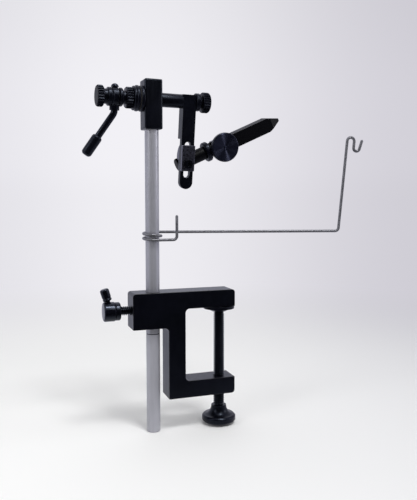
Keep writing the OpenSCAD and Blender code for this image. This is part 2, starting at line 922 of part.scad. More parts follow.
module crank_rod() {
    color("#17171b")
        rod_corner() {
            translate([0, 0, bend_tangent]) {
                cylinder(d = rod_d, h = rod_corner_z - rod_shoulder_z - bend_tangent, $fn = small);
                cylinder(d = rod_tenon_d, h = rod_corner_z - rod_seat_z - bend_tangent, $fn = small);
            }
            translate([-rod_bend_r, 0, bend_tangent])
                rotate([90, 0, 0])
                    rotate_extrude(angle = -rod_lean, $fn = small)
                        translate([rod_bend_r, 0])
                            circle(d = rod_d, $fn = small);
            rotate([0, rod_lean, 0])
                translate([0, 0, grip_edge - rod_l])
                    cylinder(d = rod_d - run, h = rod_l - bend_tangent + gap - grip_edge, $fn = small);
        }
}

module crank_grip() {
    color("#121216")
        rod_corner()
            rotate([0, rod_lean, 0])
                translate([0, 0, -grip_start])
                    mirror([0, 0, 1])
                        difference() {
                            bevelled_disc(grip_d, grip_l, grip_edge);
                            translate([0, 0, -over])
                                cylinder(d = rod_d + 2*run, h = rod_l - grip_start + over - grip_edge + gap,
                                         $fn = small);
                        }
}

module crank_nut() {
    color("#18181d")
        left_stack(crank_nut_x, crank_nut_l - nut_wall)
            thumb_nut(crank_nut_collar_l, crank_neck_d, crank_nut_neck_l, crank_nut_head_l);
}

module rotary_arm() {
    h = arm_top + arm_end;
    color("#101013")
        rotary_frame()
            difference() {
                translate([arm_x, arm_front, -arm_end]) {
                    translate([0, 0, arm_end - arm_step])
                        cube([arm_w, arm_depth, arm_step + arm_top]);
                    translate([0, 0, arm_w/2])
                        cube([arm_w, arm_thin, h - arm_w/2]);
                    translate([arm_w/2, arm_thin, arm_w/2])
                        rotate([90, 0, 0])
                            cylinder(d = arm_w, h = arm_thin, $fn = fine);
                }
                translate([arm_x - over, 0, 0])
                    lay_x()
                        cylinder(d = journal_d, h = arm_w + 2*over, $fn = fine);
                for (z = [-slot_top - slot_w/2, -slot_top - slot_l + slot_w/2]) {
                    translate([arm_mid_x, arm_front - over, z])
                        rotate([-90, 0, 0])
                            cylinder(d = slot_w, h = arm_depth + 2*over, $fn = small);
                }
                translate([arm_mid_x - slot_w/2, arm_front - over, -slot_top - slot_l + slot_w/2])
                    cube([slot_w, arm_depth + 2*over, slot_l - slot_w]);
            }
}

module arm_nut() {
    l = arm_nut_collar_l + arm_nut_neck_l;
    dome_r = (pow(nut_head_d/2 - 2*nut_edge, 2) + pow(arm_nut_dome_h, 2))/(2*arm_nut_dome_h);
    color("#18181d")
        rotary_frame()
            translate([arm_nut_x, 0, 0])
                lay_x() {
                    thumb_nut(arm_nut_collar_l, arm_neck_d, arm_nut_neck_l, arm_nut_head_l);
                    translate([0, 0, l + arm_nut_head_l])
                        rotate_extrude($fn = fine)
                            intersection() {
                                translate([0, arm_nut_dome_h - dome_r])
                                    circle(dome_r, $fn = 2*fine);
                                square([dome_r, arm_nut_dome_h]);
                            }
                    translate([0, 0, -stud_l + over])
                        cylinder(d = stud_d, h = stud_l, $fn = small);
                }
}

module slider_plate() {
    color("#45454d")
        rotary_frame()
            difference() {
                translate([arm_mid_x, plate_front + plate_t/2, slider_rise - tilt_screw_drop])
                    cube([arm_w, plate_t, slider_h], center = true);
                translate([arm_mid_x, plate_front - over, -tilt_screw_drop])
                    rotate([-90, 0, 0])
                        cylinder(d = tilt_screw_d, h = plate_t + 2*over, $fn = small);
            }
}

module tilt_screw() {
    color("#0f0f12")
        rotary_frame()
            translate([arm_mid_x, plate_front, -tilt_screw_drop])
                rotate([-90, 0, 0])
                    difference() {
                        union() {
                            cylinder(d = tilt_screw_d, h = jaw_y + shank_d/2 - plate_front - (shank_d - tilt_screw_depth),
                                     $fn = small);
                            translate([0, 0, -tilt_head_h])
                                bevelled_disc(tilt_head_d, tilt_head_h, run);
                        }
                        translate([0, 0, -tilt_head_h - over])
                            cylinder(d = tilt_socket_d, h = tilt_socket_depth + over, $fn = 6);
                    }
}

module saddle_block() {
    color("#4b4b53")
        slider_frame()
            difference() {
                translate([0, saddle_front - jaw_y, slider_rise])
                    intersection() {
                        translate([0, saddle_depth/2, 0])
                            cube([arm_w, saddle_depth, slider_h], center = true);
                        translate([-arm_w/2, saddle_depth - saddle_arc_r, 0])
                            lay_x()
                                cylinder(r = saddle_arc_r, h = arm_w, $fn = fine);
                    }
                rotate([0, 90 - jaw_angle, 0])
                    cylinder(d = shank_d, h = 4*arm_w, center = true, $fn = fine);
                rotate([90, 0, 0])
                    cylinder(d = tilt_screw_d + 2*run, h = jaw_y + arm_depth, $fn = small);
            }
}

module jaw_shank() {
    l = shank_tail + collar_s;
    color("#141418")
        jaw_frame()
            difference() {
                translate([-shank_tail, 0, 0])
                    lay_x() {
                        ridged_disc(shank_d, knurl_l, knurl_depth, knurl_ridges, knurl_depth);
                        translate([0, 0, knurl_l/2])
                            cylinder(d = shank_d - 2*knurl_depth - 4*gap, h = l/2, $fn = fine);
                        translate([0, 0, knurl_l + 2*gap])
                            cylinder(d = shank_d, h = l - knurl_l - 2*gap, $fn = fine);
                    }
                rotate([90, 0, 0])
                    translate([0, 0, shank_d/2 - tilt_screw_depth])
                        cylinder(d = tilt_screw_d + 2*run, h = shank_d, $fn = small);
                translate([collar_s - tail_d, 0, 0])
                    lay_x()
                        cylinder(d = tail_d, h = tail_d + over, $fn = small);
            }
}

module jaw_collar() {
    color("#1a1a1f")
        jaw_frame()
            translate([collar_s, 0, 0])
                lay_x()
                    difference() {
                        bevelled_disc(collar_d, collar_l, nut_edge);
                        translate([0, 0, -over])
                            cylinder(d = tail_d, h = collar_l + 2*over, $fn = small);
                    }
}

// Side view of the jaws: a bar that ends in a blunt spear point
module jaw_outline() {
    translate([0, -jaw_drop])
        polygon([[bar_start, -jaw_h/2], [beak_s, -jaw_h/2], [beak_s + beak_l, -tip_h/2],
                 [beak_s + beak_l, tip_h/2], [beak_s, jaw_h/2], [bar_start, jaw_h/2]]);
}

// Top view of one jaw: the beak thins towards its tip, away from the split
module jaw_thickness() {
    waist = beak_s + beak_l*beak_back_share;
    polygon([[collar_s, split/2], [beak_s + beak_l, split/2], [beak_s + beak_l, tip_t], [waist, jaw_t + split/2],
             [collar_s, jaw_t + split/2]]);
}

// One jaw's bar behind the split
module jaw_bar() {
    intersection() {
        rotate([90, 0, 0])
            linear_extrude(4*jaw_t, center = true)
                jaw_outline();
        linear_extrude(2*jaw_h, center = true)
            jaw_thickness();
    }
}

module rear_jaw() {
    fork_s = collar_s + collar_l;
    color("#121216")
        jaw_frame()
            difference() {
                union() {
                    jaw_bar();
                    translate([collar_s - tail_d + gap, 0, 0])
                        lay_x()
                            cylinder(d = tail_d, h = tail_d + collar_l, $fn = small);
                    intersection() {
                        translate([fork_s, 0, 0])
                            lay_x()
                                cylinder(d = fork_d, h = bar_start - fork_s + over, $fn = fine);
                        translate([fork_s, -jaw_t - split/2, -fork_d/2])
                            cube([bar_start - fork_s + over, 2*jaw_t + split, fork_d]);
                    }
                }
                translate([pin_s - jaw_t/2 - 3*gap, -fork_d, -tongue_h/2 - gap])
                    cube([bar_start, fork_d + split/2, tongue_h + 2*gap]);
                translate([fork_end, -fork_d, -fork_d])
                    cube([bar_start, fork_d + split/2, 2*fork_d]);
                translate([pin_s, pin_y, -fork_d])
                    cylinder(d = pin_d, h = 2*fork_d, $fn = small);
                translate([jaw_knob_s, 0, -jaw_drop])
                    rotate([-90, 0, 0]) {
                        cylinder(d = jaw_screw_d + 2*run, h = 2*jaw_t, $fn = small);
                        cylinder(d = spring_seat_d, h = split/2 + spring_seat_depth, $fn = small);
                    }
            }
}

module front_jaw() {
    color("#121216")
        jaw_frame()
            difference() {
                union() {
                    mirror([0, 1, 0])
                        jaw_bar();
                    translate([pin_s, -jaw_t - split/2, -tongue_h/2])
                        cube([bar_start - pin_s + over, jaw_t, tongue_h]);
                    translate([pin_s, pin_y, -tongue_h/2])
                        cylinder(d = jaw_t, h = tongue_h, $fn = small);
                }
                translate([pin_s, pin_y, -fork_d])
                    cylinder(d = pin_d + 2*run, h = 2*fork_d, $fn = small);
                translate([jaw_knob_s, 0, -jaw_drop])
                    rotate([90, 0, 0]) {
                        cylinder(d = jaw_screw_hole_d, h = 2*jaw_t, $fn = small);
                        cylinder(d = spring_seat_d, h = split/2 + spring_seat_depth, $fn = small);
                    }
            }
}

module jaw_pin() {
    color("#2b2b30")
        jaw_frame()
            translate([pin_s, pin_y, -fork_d/2 + gap]) {
                cylinder(d = pin_d, h = fork_d, $fn = small);
                translate([0, 0, fork_d - gap])
                    cylinder(d = pin_head_d, h = pin_head_h, $fn = small);
            }
}

// Route of the spring between the jaws: a helix round the jaw knob's screw, with straight ends
function spring_route() = let (
    h = 2*spring_seat_depth + split - spring_wire_d - 2*gap,
    r = spring_seat_d/2 - spring_side_gap - spring_wire_d/2,
    rings = rings_per_loop*spring_turns,
    middle = [jaw_knob_s, 0, -jaw_drop]
) concat(
    [middle + [r, -h/2, -spring_wire_d]],
    [for (i = [0:rings]) let (a = 360*i/rings_per_loop)
        middle + [r*cos(a), h*(i/rings - 1/2), r*sin(a)]],
    [middle + [r, h/2, spring_wire_d]]);

module jaw_spring() {
    color("#9a9aa2")
        jaw_frame()
            tube(spring_route(), spring_wire_d, 6, [0, 1, 0]);
}

module jaw_washer() {
    color("#33333a")
        jaw_frame()
            translate([jaw_knob_s, -jaw_t - split/2 - gap/2, -jaw_drop])
                rotate([90, 0, 0])
                    difference() {
                        cylinder(d = jaw_washer_d, h = jaw_washer_t, $fn = fine);
                        translate([0, 0, -over])
                            cylinder(d = jaw_screw_d + 2*run, h = jaw_washer_t + 2*over, $fn = small);
                    }
}

module jaw_knob() {
    r = jaw_knob_d/2;
    base = jaw_knob_cone;
    color("#15151a")
        jaw_frame()
            translate([jaw_knob_s, -jaw_t - split/2 - gap - jaw_washer_t, -jaw_drop])
                rotate([90, 0, 0]) {
                    rotate_extrude($fn = fine)
                        polygon([[0, 0], [jaw_washer_d/2, 0], [r - collar_edge, base], [r, base + collar_edge],
                                 [r, base + jaw_knob_t - collar_edge], [r - collar_edge, base + jaw_knob_t],
                                 [jaw_knob_centre_d/2, base + jaw_knob_t - jaw_knob_dish],
                                 [0, base + jaw_knob_t - jaw_knob_dish]]);
                    translate([0, 0, -2*jaw_t - split - gap - jaw_washer_t])
                        cylinder(d = jaw_screw_d, h = 2*jaw_t + 2*split + jaw_washer_t + base, $fn = small);
                }
}

// Route of the cradle wire: upright tail, tail, coil, arm, riser and the two loops at its end
function cradle_route() = let (
    z0 = cradle_z,
    z1 = cradle_z + coil_rise,
    r = wire_bend_r,
    tail_x = tail_l,
    up = [0, 0, 1],
    x = [1, 0, 0],
    lead = [cos(cradle_swing), -sin(cradle_swing), 0],
    start = coil_r*[sin(cradle_swing), cos(cradle_swing), 0] + z1*up,
    corner = start + cradle_arm_l*lead,
    rise = sin(riser_lean)*lead + cos(riser_lean)*up,
    out = cos(riser_lean)*lead - sin(riser_lean)*up,
    arch = corner + cradle_riser_h*rise + loop_r*out,
    hook = arch + (loop_r + hook_r)*out - loop_drop*rise,
    end_dir = cos(hook_lean)*rise + sin(hook_lean)*out,
    hook_out = cos(hook_lean)*out - sin(hook_lean)*rise
) concat(
    [[tail_x, -coil_r, z0 + tail_rise]],
    arc_points([tail_x - r, -coil_r, z0 + r], -up, x, r, 90, 0, bend_steps),
    [for (i = [0:floor(rings_per_loop*coil_sweep/360)])
        let (a = coil_start - 360*i/rings_per_loop) [coil_r*cos(a), coil_r*sin(a), z0 + coil_pitch*i/rings_per_loop]],
    [start],
    arc_points(corner - r*tan((90 - riser_lean)/2)*lead + r*up, -up, lead, r, 0, 90 - riser_lean, bend_steps),
    [arch - loop_r*out],
    arc_points(arch, -out, rise, loop_r, 0, 180, 2*bend_steps),
    [hook - hook_r*out],
    arc_points(hook, -out, -rise, hook_r, 0, 180 - hook_lean, 2*bend_steps),
    [hook + hook_r*hook_out + hook_end_l*end_dir]);

module bobbin_cradle() {
    color("#8c8c92")
        tube(cradle_route(), wire_d, wire_sides, [0, 1, 0]);
}

// Least gap of a wound tube to itself: the nearest points more than half a turn apart
function self_gap(p, d, apart) =
    min([for (i = [0:len(p) - 1]) for (j = [i + apart:1:len(p) - 1]) norm(p[i] - p[j])]) - d;

echo(cradle_self_gap = self_gap(cradle_route(), wire_d, rings_per_loop/2));
echo(spring_self_gap = self_gap(spring_route(), spring_wire_d, rings_per_loop/2));

clamp_frame();
clamp_screw();
hand_knob();
swivel_pad();
lock_tip();
lock_screw();
lock_lever();
post_lower();
post_upper();
post_joint_stud();
head_block();
head_set_screw();
shaft_bush_left();
shaft_bush_right();
brake_flange();
friction_washer();
pressure_disc();
drag_nut();
rotary_shaft();
crank_hub();
crank_set_screw();
crank_rod();
crank_grip();
crank_nut();
rotary_arm();
arm_nut();
slider_plate();
tilt_screw();
saddle_block();
jaw_shank();
jaw_collar();
rear_jaw();
front_jaw();
jaw_pin();
jaw_spring();
jaw_washer();
jaw_knob();
bobbin_cradle();
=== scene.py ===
import json
import math

import bmesh
import bpy
import numpy as np
from bpy.props import FloatProperty, FloatVectorProperty, IntProperty, PointerProperty
from mathutils import Matrix, Vector

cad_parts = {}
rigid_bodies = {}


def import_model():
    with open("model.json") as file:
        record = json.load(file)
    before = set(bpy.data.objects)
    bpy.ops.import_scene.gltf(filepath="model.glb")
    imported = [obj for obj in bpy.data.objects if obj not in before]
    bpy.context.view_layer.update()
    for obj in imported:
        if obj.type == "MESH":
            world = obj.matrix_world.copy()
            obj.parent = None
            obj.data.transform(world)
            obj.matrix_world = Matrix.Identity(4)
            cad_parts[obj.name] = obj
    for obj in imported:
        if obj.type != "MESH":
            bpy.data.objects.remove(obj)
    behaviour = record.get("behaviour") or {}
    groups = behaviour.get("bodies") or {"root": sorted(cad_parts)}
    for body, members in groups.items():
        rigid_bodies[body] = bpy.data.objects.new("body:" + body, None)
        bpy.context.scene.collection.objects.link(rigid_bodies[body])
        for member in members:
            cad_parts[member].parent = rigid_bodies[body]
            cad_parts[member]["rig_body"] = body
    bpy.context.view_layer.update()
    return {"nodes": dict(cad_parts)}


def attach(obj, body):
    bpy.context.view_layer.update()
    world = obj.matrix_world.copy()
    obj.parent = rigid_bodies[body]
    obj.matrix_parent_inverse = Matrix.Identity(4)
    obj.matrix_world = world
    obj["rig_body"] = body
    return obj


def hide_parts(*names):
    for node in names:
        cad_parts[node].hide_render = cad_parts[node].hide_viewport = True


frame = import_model()

bl_info = {
    "name": "Fly Tying Vise",
    "version": (1, 0, 0),
    "blender": (4, 5, 0),
    "location": "3D View > Sidebar > Vise",
    "description": "Builds the looks of a rotary fly tying vise on its C-clamp",
    "category": "Add Mesh",
}

MM = 0.001
# radial room of a running fit, room between faces that pass each other, and a hair that keeps two surfaces apart
FIT, GAP, HAIR = 0.05 * MM, 0.1 * MM, 0.01 * MM
# chamfer and easing of turned pieces, the same of thumb nuts, and the sharpest turn that stays smooth on bent wires
CHAMFER, EASE, NUT_CHAMFER, NUT_EASE, WIRE_TURN = 0.5 * MM, 0.15 * MM, 0.7 * MM, 0.16 * MM, 50
BODY = {node: part["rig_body"] for node, part in frame["nodes"].items()}


def length(name, text, mm):
    """A size property, given in millimetres and kept in metres."""
    return FloatProperty(name=name, description=text, default=mm * MM, min=0, precision=5,
                         subtype="DISTANCE", unit="LENGTH")


def turn(name, text, degrees):
    """An angle property, given in degrees and kept in radians."""
    return FloatProperty(name=name, description=text, default=math.radians(degrees), subtype="ANGLE",
                         unit="ROTATION")


def number(name, text, value, low=0.0, high=1000.0):
    """A plain number."""
    return FloatProperty(name=name, description=text, default=value, min=low, max=high)


def nut(name, *mm):
    """The four lengths of a thumb nut, given in millimetres and kept in metres."""
    return FloatVectorProperty(name=name, description="Collar's length, neck's diameter and length, head's length",
                               default=[v * MM for v in mm], size=4, min=0, precision=5, unit="LENGTH")


def colour(name, text, rgb):
    """A linear colour property."""
    return FloatVectorProperty(name=name, description=text, default=rgb, min=0, max=1, size=3,
                               subtype="COLOR")


# ---------------------------------------------------------------- sizes and colours

class ViseLayout(bpy.types.PropertyGroup):
    """Where the head, the rotary arm, the slider and the jaws stand."""
    axis_z: length("Rotary axis height", "Height of the shaft's axis above the floor", 230.6)
    head_swing: turn("Head swing", "Turn of the head about the post", 3)
    rotary_lean: turn("Rotary lean", "Lean of the arm about the shaft", 8.5)
    arm_mid_x: length("Arm distance", "From the post's axis to the middle of the arm", 26.565)
    jaw_y: length("Jaw depth", "From the shaft's axis back to the jaw shank's axis", 5.015)
    tilt_drop: length("Tilt screw drop", "From the shaft's axis down to the tilt screw", 42.6)
    jaw_angle: turn("Jaw angle", "Rise of the jaws above the horizontal", 25)


class ViseClampSizes(bpy.types.PropertyGroup):
    """Clamp screw, hand knob and swivel pad."""
    x: length("Screw distance", "From the post's axis to the clamp screw's axis", 49.1)
    screw_d: length("Screw diameter", "Outside diameter of the thread", 7.9)
    pitch: length("Thread pitch", "Advance of the thread in one turn", 1.41)
    depth: length("Thread depth", "Depth of the thread's groove", 0.88)
    seat_d: length("Seat diameter", "Screw's plain end inside the hand knob", 6)
    journal_d: length("Journal diameter", "Screw's plain end inside the pad", 5)
    journal_l: length("Journal length", "How far the journal reaches into the pad", 3)
    foot_d: length("Foot diameter", "Foot under the hand knob", 13)
    foot_h: length("Foot height", "Height of the foot", 1.4)
    knob_d: length("Knob diameter", "Hand knob's rim", 24.5)
    flare: number("Flare", "Share of the rim's width that the flare up to the hub takes", 0.82, 0, 1)
    rim_h: length("Rim height", "Height of the knob's rim", 5.2)
    hub_d: length("Hub diameter", "Hand knob's hub", 10.9)
    hub_h: length("Hub height", "Height of the hub above the rim", 6.9)
    pad_z: length("Pad height", "Height of the pad's lower face", 82.4)
    pad_d: length("Pad diameter", "Swivel pad's rim", 22.4)
    pad_rim_h: length("Pad rim height", "Thickness of the pad's rim", 2)
    cone_h: length("Cone height", "Cone under the pad's rim", 2.3)
    cone_top_d: length("Cone top", "Diameter of the cone at the rim", 18)
    cone_base_d: length("Cone base", "Diameter of the cone at the screw", 9.3)


class ViseLockSizes(bpy.types.PropertyGroup):
    """Lock screw that holds the post in the clamp."""
    z: length("Height", "Height of the lock screw's axis", 86.7)
    head_x: length("Head distance", "From the post's axis to the shoulder of the barrel head", 23.1)
    screw_d: length("Screw diameter", "Outside diameter of the thread", 6.35)
    pitch: length("Thread pitch", "Advance of the thread in one turn", 1.27)
    depth: length("Thread depth", "Depth of the thread's groove", 0.75)
    screw_l: length("Screw length", "From the shoulder to the tip", 15.235)
    shoulder_d: length("Shoulder diameter", "Shoulder of the barrel head", 12.6)
    shoulder_l: length("Shoulder length", "Length of the shoulder", 3.4)
    head_d: length("Head diameter", "Barrel head", 13.4)
    head_l: length("Head length", "Length of the barrel head", 8.1)
    edge: length("Edge", "Chamfers of shoulder and head", 0.7)
    tip_d: length("Tip diameter", "Soft tip", 4.6)
    tip_l: length("Tip length", "Soft tip", 3)
    lever_at: length("Lever place", "From the shoulder's face to the lever's axis", 6.073)
    lever_lean: turn("Lever lean", "Lean of the lever away from the post", 17)
    lever_seat: length("Lever seat", "From the screw's axis to the lever's inner end", 4.279)
    lever_d: length("Lever diameter", "Lever stub", 6.2)
    lever_neck_d: length("Neck diameter", "Neck under the lever", 4.4)
    lever_pin_d: length("Pin diameter", "Lever's pin in the head", 3)
    lever_l: length("Lever length", "From the lever's inner end to its tip", 12.034)


class VisePostSizes(bpy.types.PropertyGroup):
    """Round post in two sections."""
    d: length("Diameter", "Diameter of the post", 9.53)
    seam_z: length("Seam height", "Length of the lower section", 70)
    top_z: length("Top height", "Height of the post's upper end", 223.8)
    edge: length("Edge", "Chamfer of the lower end", 0.5)
    seam_w: length("Seam width", "Width of the groove at the seam", 0.5)
    seam_depth: length("Seam depth", "Depth of the groove at the seam", 0.45)
    stud_d: length("Stud diameter", "Stud that joins the sections", 5)
    stud_l: length("Stud length", "Stud that joins the sections", 20)


class ViseStackSizes(bpy.types.PropertyGroup):
    """Bushes, drag, shaft and thumb nuts, all turned about the rotary axis."""
    head_w: length("Head width", "Width of the head block along the shaft", 12.7)
    journal_d: length("Journal diameter", "Thin part of the shaft", 6.35)
    bush_d: length("Bush diameter", "Outside of the bushes", 8.4)
    bush_l: length("Bush length", "Length of one bush", 6.15)
    disc_d: length("Disc diameter", "Brake flange and pressure disc", 17.3)
    step_d: length("Step diameter", "Smaller side of the pressure disc", 16.2)
    flange_t: length("Flange thickness", "Brake flange", 2.2)
    washer_t: length("Washer thickness", "Friction washer", 0.8)
    pressure_x: length("Pressure disc place", "From the post's axis", 9.4)
    disc_share: number("Disc share", "Share of the pressure disc's thickness at its full diameter", 0.55, 0, 1)
    pressure_t: length("Pressure disc thickness", "Pressure disc", 4)
    drag_nut_x: length("Drag nut place", "From the post's axis", 13.45)
    crank_nut_x: length("Crank nut place", "From the post's axis", 27.5)
    arm_nut_x: length("Arm nut place", "From the post's axis", 31.38)
    nut_d: length("Nut diameter", "Knurled heads of the thumb nuts", 14.1)
    collar_d: length("Collar diameter", "Collars of the thumb nuts", 12.3)
    drag_nut: nut("Drag nut", 2.4, 8.9, 2.1, 4.8)
    arm_nut: nut("Arm nut", 3.3, 7.8, 1.6, 5.4)
    crank_nut: nut("Crank nut", 3.1, 10, 2.6, 4.4)
    ridge_depth: length("Ridge depth", "Depth of the grooves round a knurled head", 0.7)
    ridges: IntProperty(name="Ridges", description="Ridges round a knurled head", default=24, min=6)
    shaft_d: length("Shaft diameter", "Shoulder between the head and the arm", 9.53)
    arm_x: length("Arm place", "From the post's axis to the arm's left side", 21.8)
    arm_w: length("Arm width", "Width of the arm along the shaft", 9.53)
    shaft_start: length("Shaft start", "From the post's axis to the shaft's left end", 35.5)
    stud_d: length("Stud diameter", "Stud of the arm nut", 3.8)
    stud_l: length("Stud length", "Bore for the stud of the arm nut", 9)


class ViseCrankSizes(bpy.types.PropertyGroup):
    """Crank rod, its grip and its set screw."""
    hub_mid_x: length("Hub place", "From the post's axis to the middle of the hub", 25.35)
    hub_d: length("Hub diameter", "Crank hub", 12.6)
    corner_z: length("Corner drop", "From the shaft's axis to the rod's corner", 10.4)
    seat_z: length("Rod seat", "From the shaft's axis to the rod's shoulder in the hub", 6.25)
    rod_d: length("Rod diameter", "Bent rod", 4.6)
    rod_l: length("Rod length", "From the corner to the rod's end", 33)
    bend_r: length("Bend radius", "Radius of the bend", 6)
    lean: turn("Rod lean", "Angle of the rod away from the head", 33.8)
    grip_d: length("Grip diameter", "Grip on the rod", 7)
    grip_l: length("Grip length", "Grip on the rod", 15.2)
    grip_start: length("Grip start", "From the corner to the grip", 19)
    screw_d: length("Screw diameter", "Set screw in the hub", 3)
    screw_head_d: length("Screw head", "Diameter of the set screw's round head", 5.2)
    screw_head_h: length("Screw head height", "Height of the round head", 2.4)


class ViseJawSizes(bpy.types.PropertyGroup):
    """Round parts of the jaws, and the spring between them."""
    shank_d: length("Shank diameter", "Jaw shank", 9.53)
    tail: length("Shank tail", "Shank behind the tilt screw", 4.8)
    collar_s: length("Collar place", "From the tilt screw to the collar", 18)
    collar_d: length("Collar diameter", "Jaw collar", 14.4)
    collar_l: length("Collar length", "Jaw collar", 3.9)
    bore_d: length("Bore diameter", "Jaw's tail inside shank and collar", 6)
    knurl_l: length("Knurl length", "Knurled end of the shank", 2.4)
    knurl_depth: length("Knurl depth", "Depth of the knurl", 0.5)
    knurl_ridges: IntProperty(name="Knurl ridges", description="Ridges of the knurl", default=24, min=6)
    pin_s: length("Pin place", "From the tilt screw to the hinge pin", 25.6)
    pin_y: length("Pin depth", "From the split forward to the hinge pin", 2.05)
    pin_d: length("Pin diameter", "Hinge pin", 2.4)
    pin_head_d: length("Pin head", "Head of the hinge pin", 3.8)
    pin_head_h: length("Pin head height", "Head of the hinge pin", 0.9)
    fork_d: length("Fork diameter", "Fork that holds the pin", 10.4)
    knob_s: length("Knob place", "From the tilt screw to the knob's axis", 31)
    drop: length("Jaw drop", "Drop of the jaws' middle below the shank's axis", 0.5)
    jaw_t: length("Jaw thickness", "Thickness of one jaw", 4)
    split: length("Split", "Gap between the jaws", 0.1)
    washer_d: length("Washer diameter", "Washer under the knob", 8)
    washer_t: length("Washer thickness", "Washer under the knob", 2.1)
    screw_d: length("Screw diameter", "Knob's screw", 4)
    knob_d: length("Knob diameter", "Jaw knob", 20.8)
    knob_t: length("Knob thickness", "Rim of the jaw knob", 3.4)
    knob_cone: length("Knob cone", "Cone behind the knob's rim", 1.2)
    knob_dish: length("Knob dish", "Depth of the hollow in the knob's face", 0.9)
    centre_d: length("Centre diameter", "Flat in the middle of the knob's face", 3.4)
    spring_d: length("Spring wire", "Diameter of the spring's wire", 0.7)
    spring_r: length("Spring radius", "Radius of the spring's middle line", 3.05)
    spring_h: length("Spring height", "Height of the spring's middle line", 3.6)
    spring_turns: IntProperty(name="Spring turns", description="Turns of the spring", default=3, min=1)


class ViseCradleSizes(bpy.types.PropertyGroup):
    """Bent wire that carries the bobbin."""
    wire_d: length("Wire diameter", "Cradle wire", 2.0)
    z: length("Height", "Height of the lowest wire", 135.2)
    pitch: length("Coil pitch", "Rise of the coil in one turn", 3.3)
    coil_r: length("Coil radius", "Radius of the coil's middle line", 6.02)
    swing: turn("Swing", "Turn of the arm towards the front", 13)
    arm_l: length("Arm length", "Straight arm", 134.5)
    riser_h: length("Riser height", "Riser at the arm's end", 65)
    riser_lean: turn("Riser lean", "Lean of the riser away from the post", 5)
    tail_l: length("Tail length", "Short tail beside the post", 15.9)
    tail_rise: length("Tail rise", "Upright end of the tail", 17)
    bend_r: length("Bend radius", "Radius of the bends", 2.6)
    loop_r: length("Loop radius", "Radius of the upper loop", 2.6)
    loop_drop: length("Loop drop", "From the upper loop down to the hook", 4.6)
    hook_r: length("Hook radius", "Radius of the hook", 2.2)
    hook_end_l: length("Hook end", "Straight end of the hook", 7)
    hook_lean: turn("Hook lean", "Lean of the hook's end", 12)


class ViseFinishes(bpy.types.PropertyGroup):
    """Colours of the finishes and the softness of the milled edges."""
    black: colour("Black", "Black anodised aluminium", (0.0016, 0.0016, 0.0032))
    # painted highlight: this lighter black on rubbed edges stands partly for wear and partly for the edges'
    # highlights, and the jaws' painted glints use it too
    black_worn_and_highlit: colour("Worn black", "Black finish where an edge is rubbed", (0.034, 0.034, 0.042))
    sheen: colour("Sheen", "Tint of the light that the black finishes mirror", (0.68, 0.78, 1.0))
    knob: colour("Knob face", "Turned face of the jaw knob", (0.048, 0.052, 0.084))
    oxide: colour("Black oxide", "Black oxide on steel", (0.0018, 0.0018, 0.0030))
    post: colour("Post steel", "Satin steel of the post", (0.36, 0.36, 0.40))
    wire: colour("Wire steel", "Drawn wire of the cradle", (0.172, 0.172, 0.188))
    spring: colour("Spring steel", "Plain spring wire", (0.36, 0.36, 0.37))
    grey: colour("Slider grey", "Blasted grey of the slider", (0.112, 0.112, 0.148))
    brass: colour("Brass", "Tip and bushes", (0.55, 0.38, 0.14))
    friction: colour("Friction pad", "Fibre washer of the drag", (0.014, 0.013, 0.013))
    edge: length("Edge", "Width of the broken edges of the milled pieces", 0.32)


class ViseStage(bpy.types.PropertyGroup):
    """Camera, floor, background and lamps."""
    lens: number("Lens", "Focal length on 36 mm film, in millimetres", 43.2, 1)
    camera_place: FloatVectorProperty(name="Camera place", description="Where the camera stands", size=3,
                                      default=(-0.1028, -0.4026, 0.16055), subtype="TRANSLATION", unit="LENGTH")
    camera_turn: turn("Camera turn", "Turn of the camera from +Y towards +X", 19.68)
    camera_dip: turn("Camera dip", "Dip of the camera below the horizon", 4.49)
    floor: colour("Floor", "Floor paper", (0.95, 0.95, 0.94))
    # painted shade: the floor's colour darkens towards the right, where the lamps' light falls off
    floor_painted_shade: colour("Floor, right", "Floor paper on the dim side", (0.68, 0.68, 0.70))
    # painted light: these background colours paint the light falling off across the paper sweep
    sweep: colour("Background", "Brightest part of the pale background", (0.888, 0.878, 0.918))
    sweep_left: colour("Background, left", "Background at the left edge", (0.805, 0.795, 0.84))
    sweep_right: colour("Background, right", "Background at the right edge", (0.645, 0.630, 0.688))
    cool: colour("Mirrored tint", "Tint of the background as glossy things see it", (0.88, 0.90, 1.0))
    dark: number("Dark front", "Share of the sweep that glossy things see in front of the vise", 0.02, 0, 1)
    dark_x: number("Dark side", "X share of the direction of the dark front", -0.2, -1, 1)
    room: number("Room light", "Strength of the even light", 0.5)
    lamp_size: length("Lamp size", "Side of the left, right and front lamps", 360)
    lamps: number("Lamp light", "Factor on all lamps", 1.0)


# ---------------------------------------------------------------- frames

def spin(axis, angle):
    """4 x 4 rotation about a row axis, as an array."""
    return np.array(Matrix.Rotation(angle, 4, axis))


def shift(x, y, z):
    """4 x 4 move, as an array."""
    return np.array(Matrix.Translation((x, y, z)))


def head_frame(at):
    """Origin on the rotary axis above the post, x along the shaft, z up."""
    return shift(0, 0, at.axis_z) @ spin("Z", at.head_swing)


def rotary_frame(at):
    """The head's frame, leaned about the shaft."""
    return head_frame(at) @ spin("X", at.rotary_lean)


def slider_frame(at):
    """Origin where the tilt screw's axis meets the jaw shank's axis."""
    return rotary_frame(at) @ shift(at.arm_mid_x, at.jaw_y, -at.tilt_drop)


def jaw_frame(at):
    """The slider's frame with x along the jaws."""
    return slider_frame(at) @ spin("Y", -at.jaw_angle)


def along_x(x=0.0):
    """A turned piece's z laid along +x, starting at x."""
    return shift(x, 0, 0) @ spin("Y", math.pi / 2)


def along_minus_x(x=0.0):
    """A turned piece's z laid along -x, starting at -x."""
    return shift(-x, 0, 0) @ spin("Y", -math.pi / 2)


# ---------------------------------------------------------------- surfaces

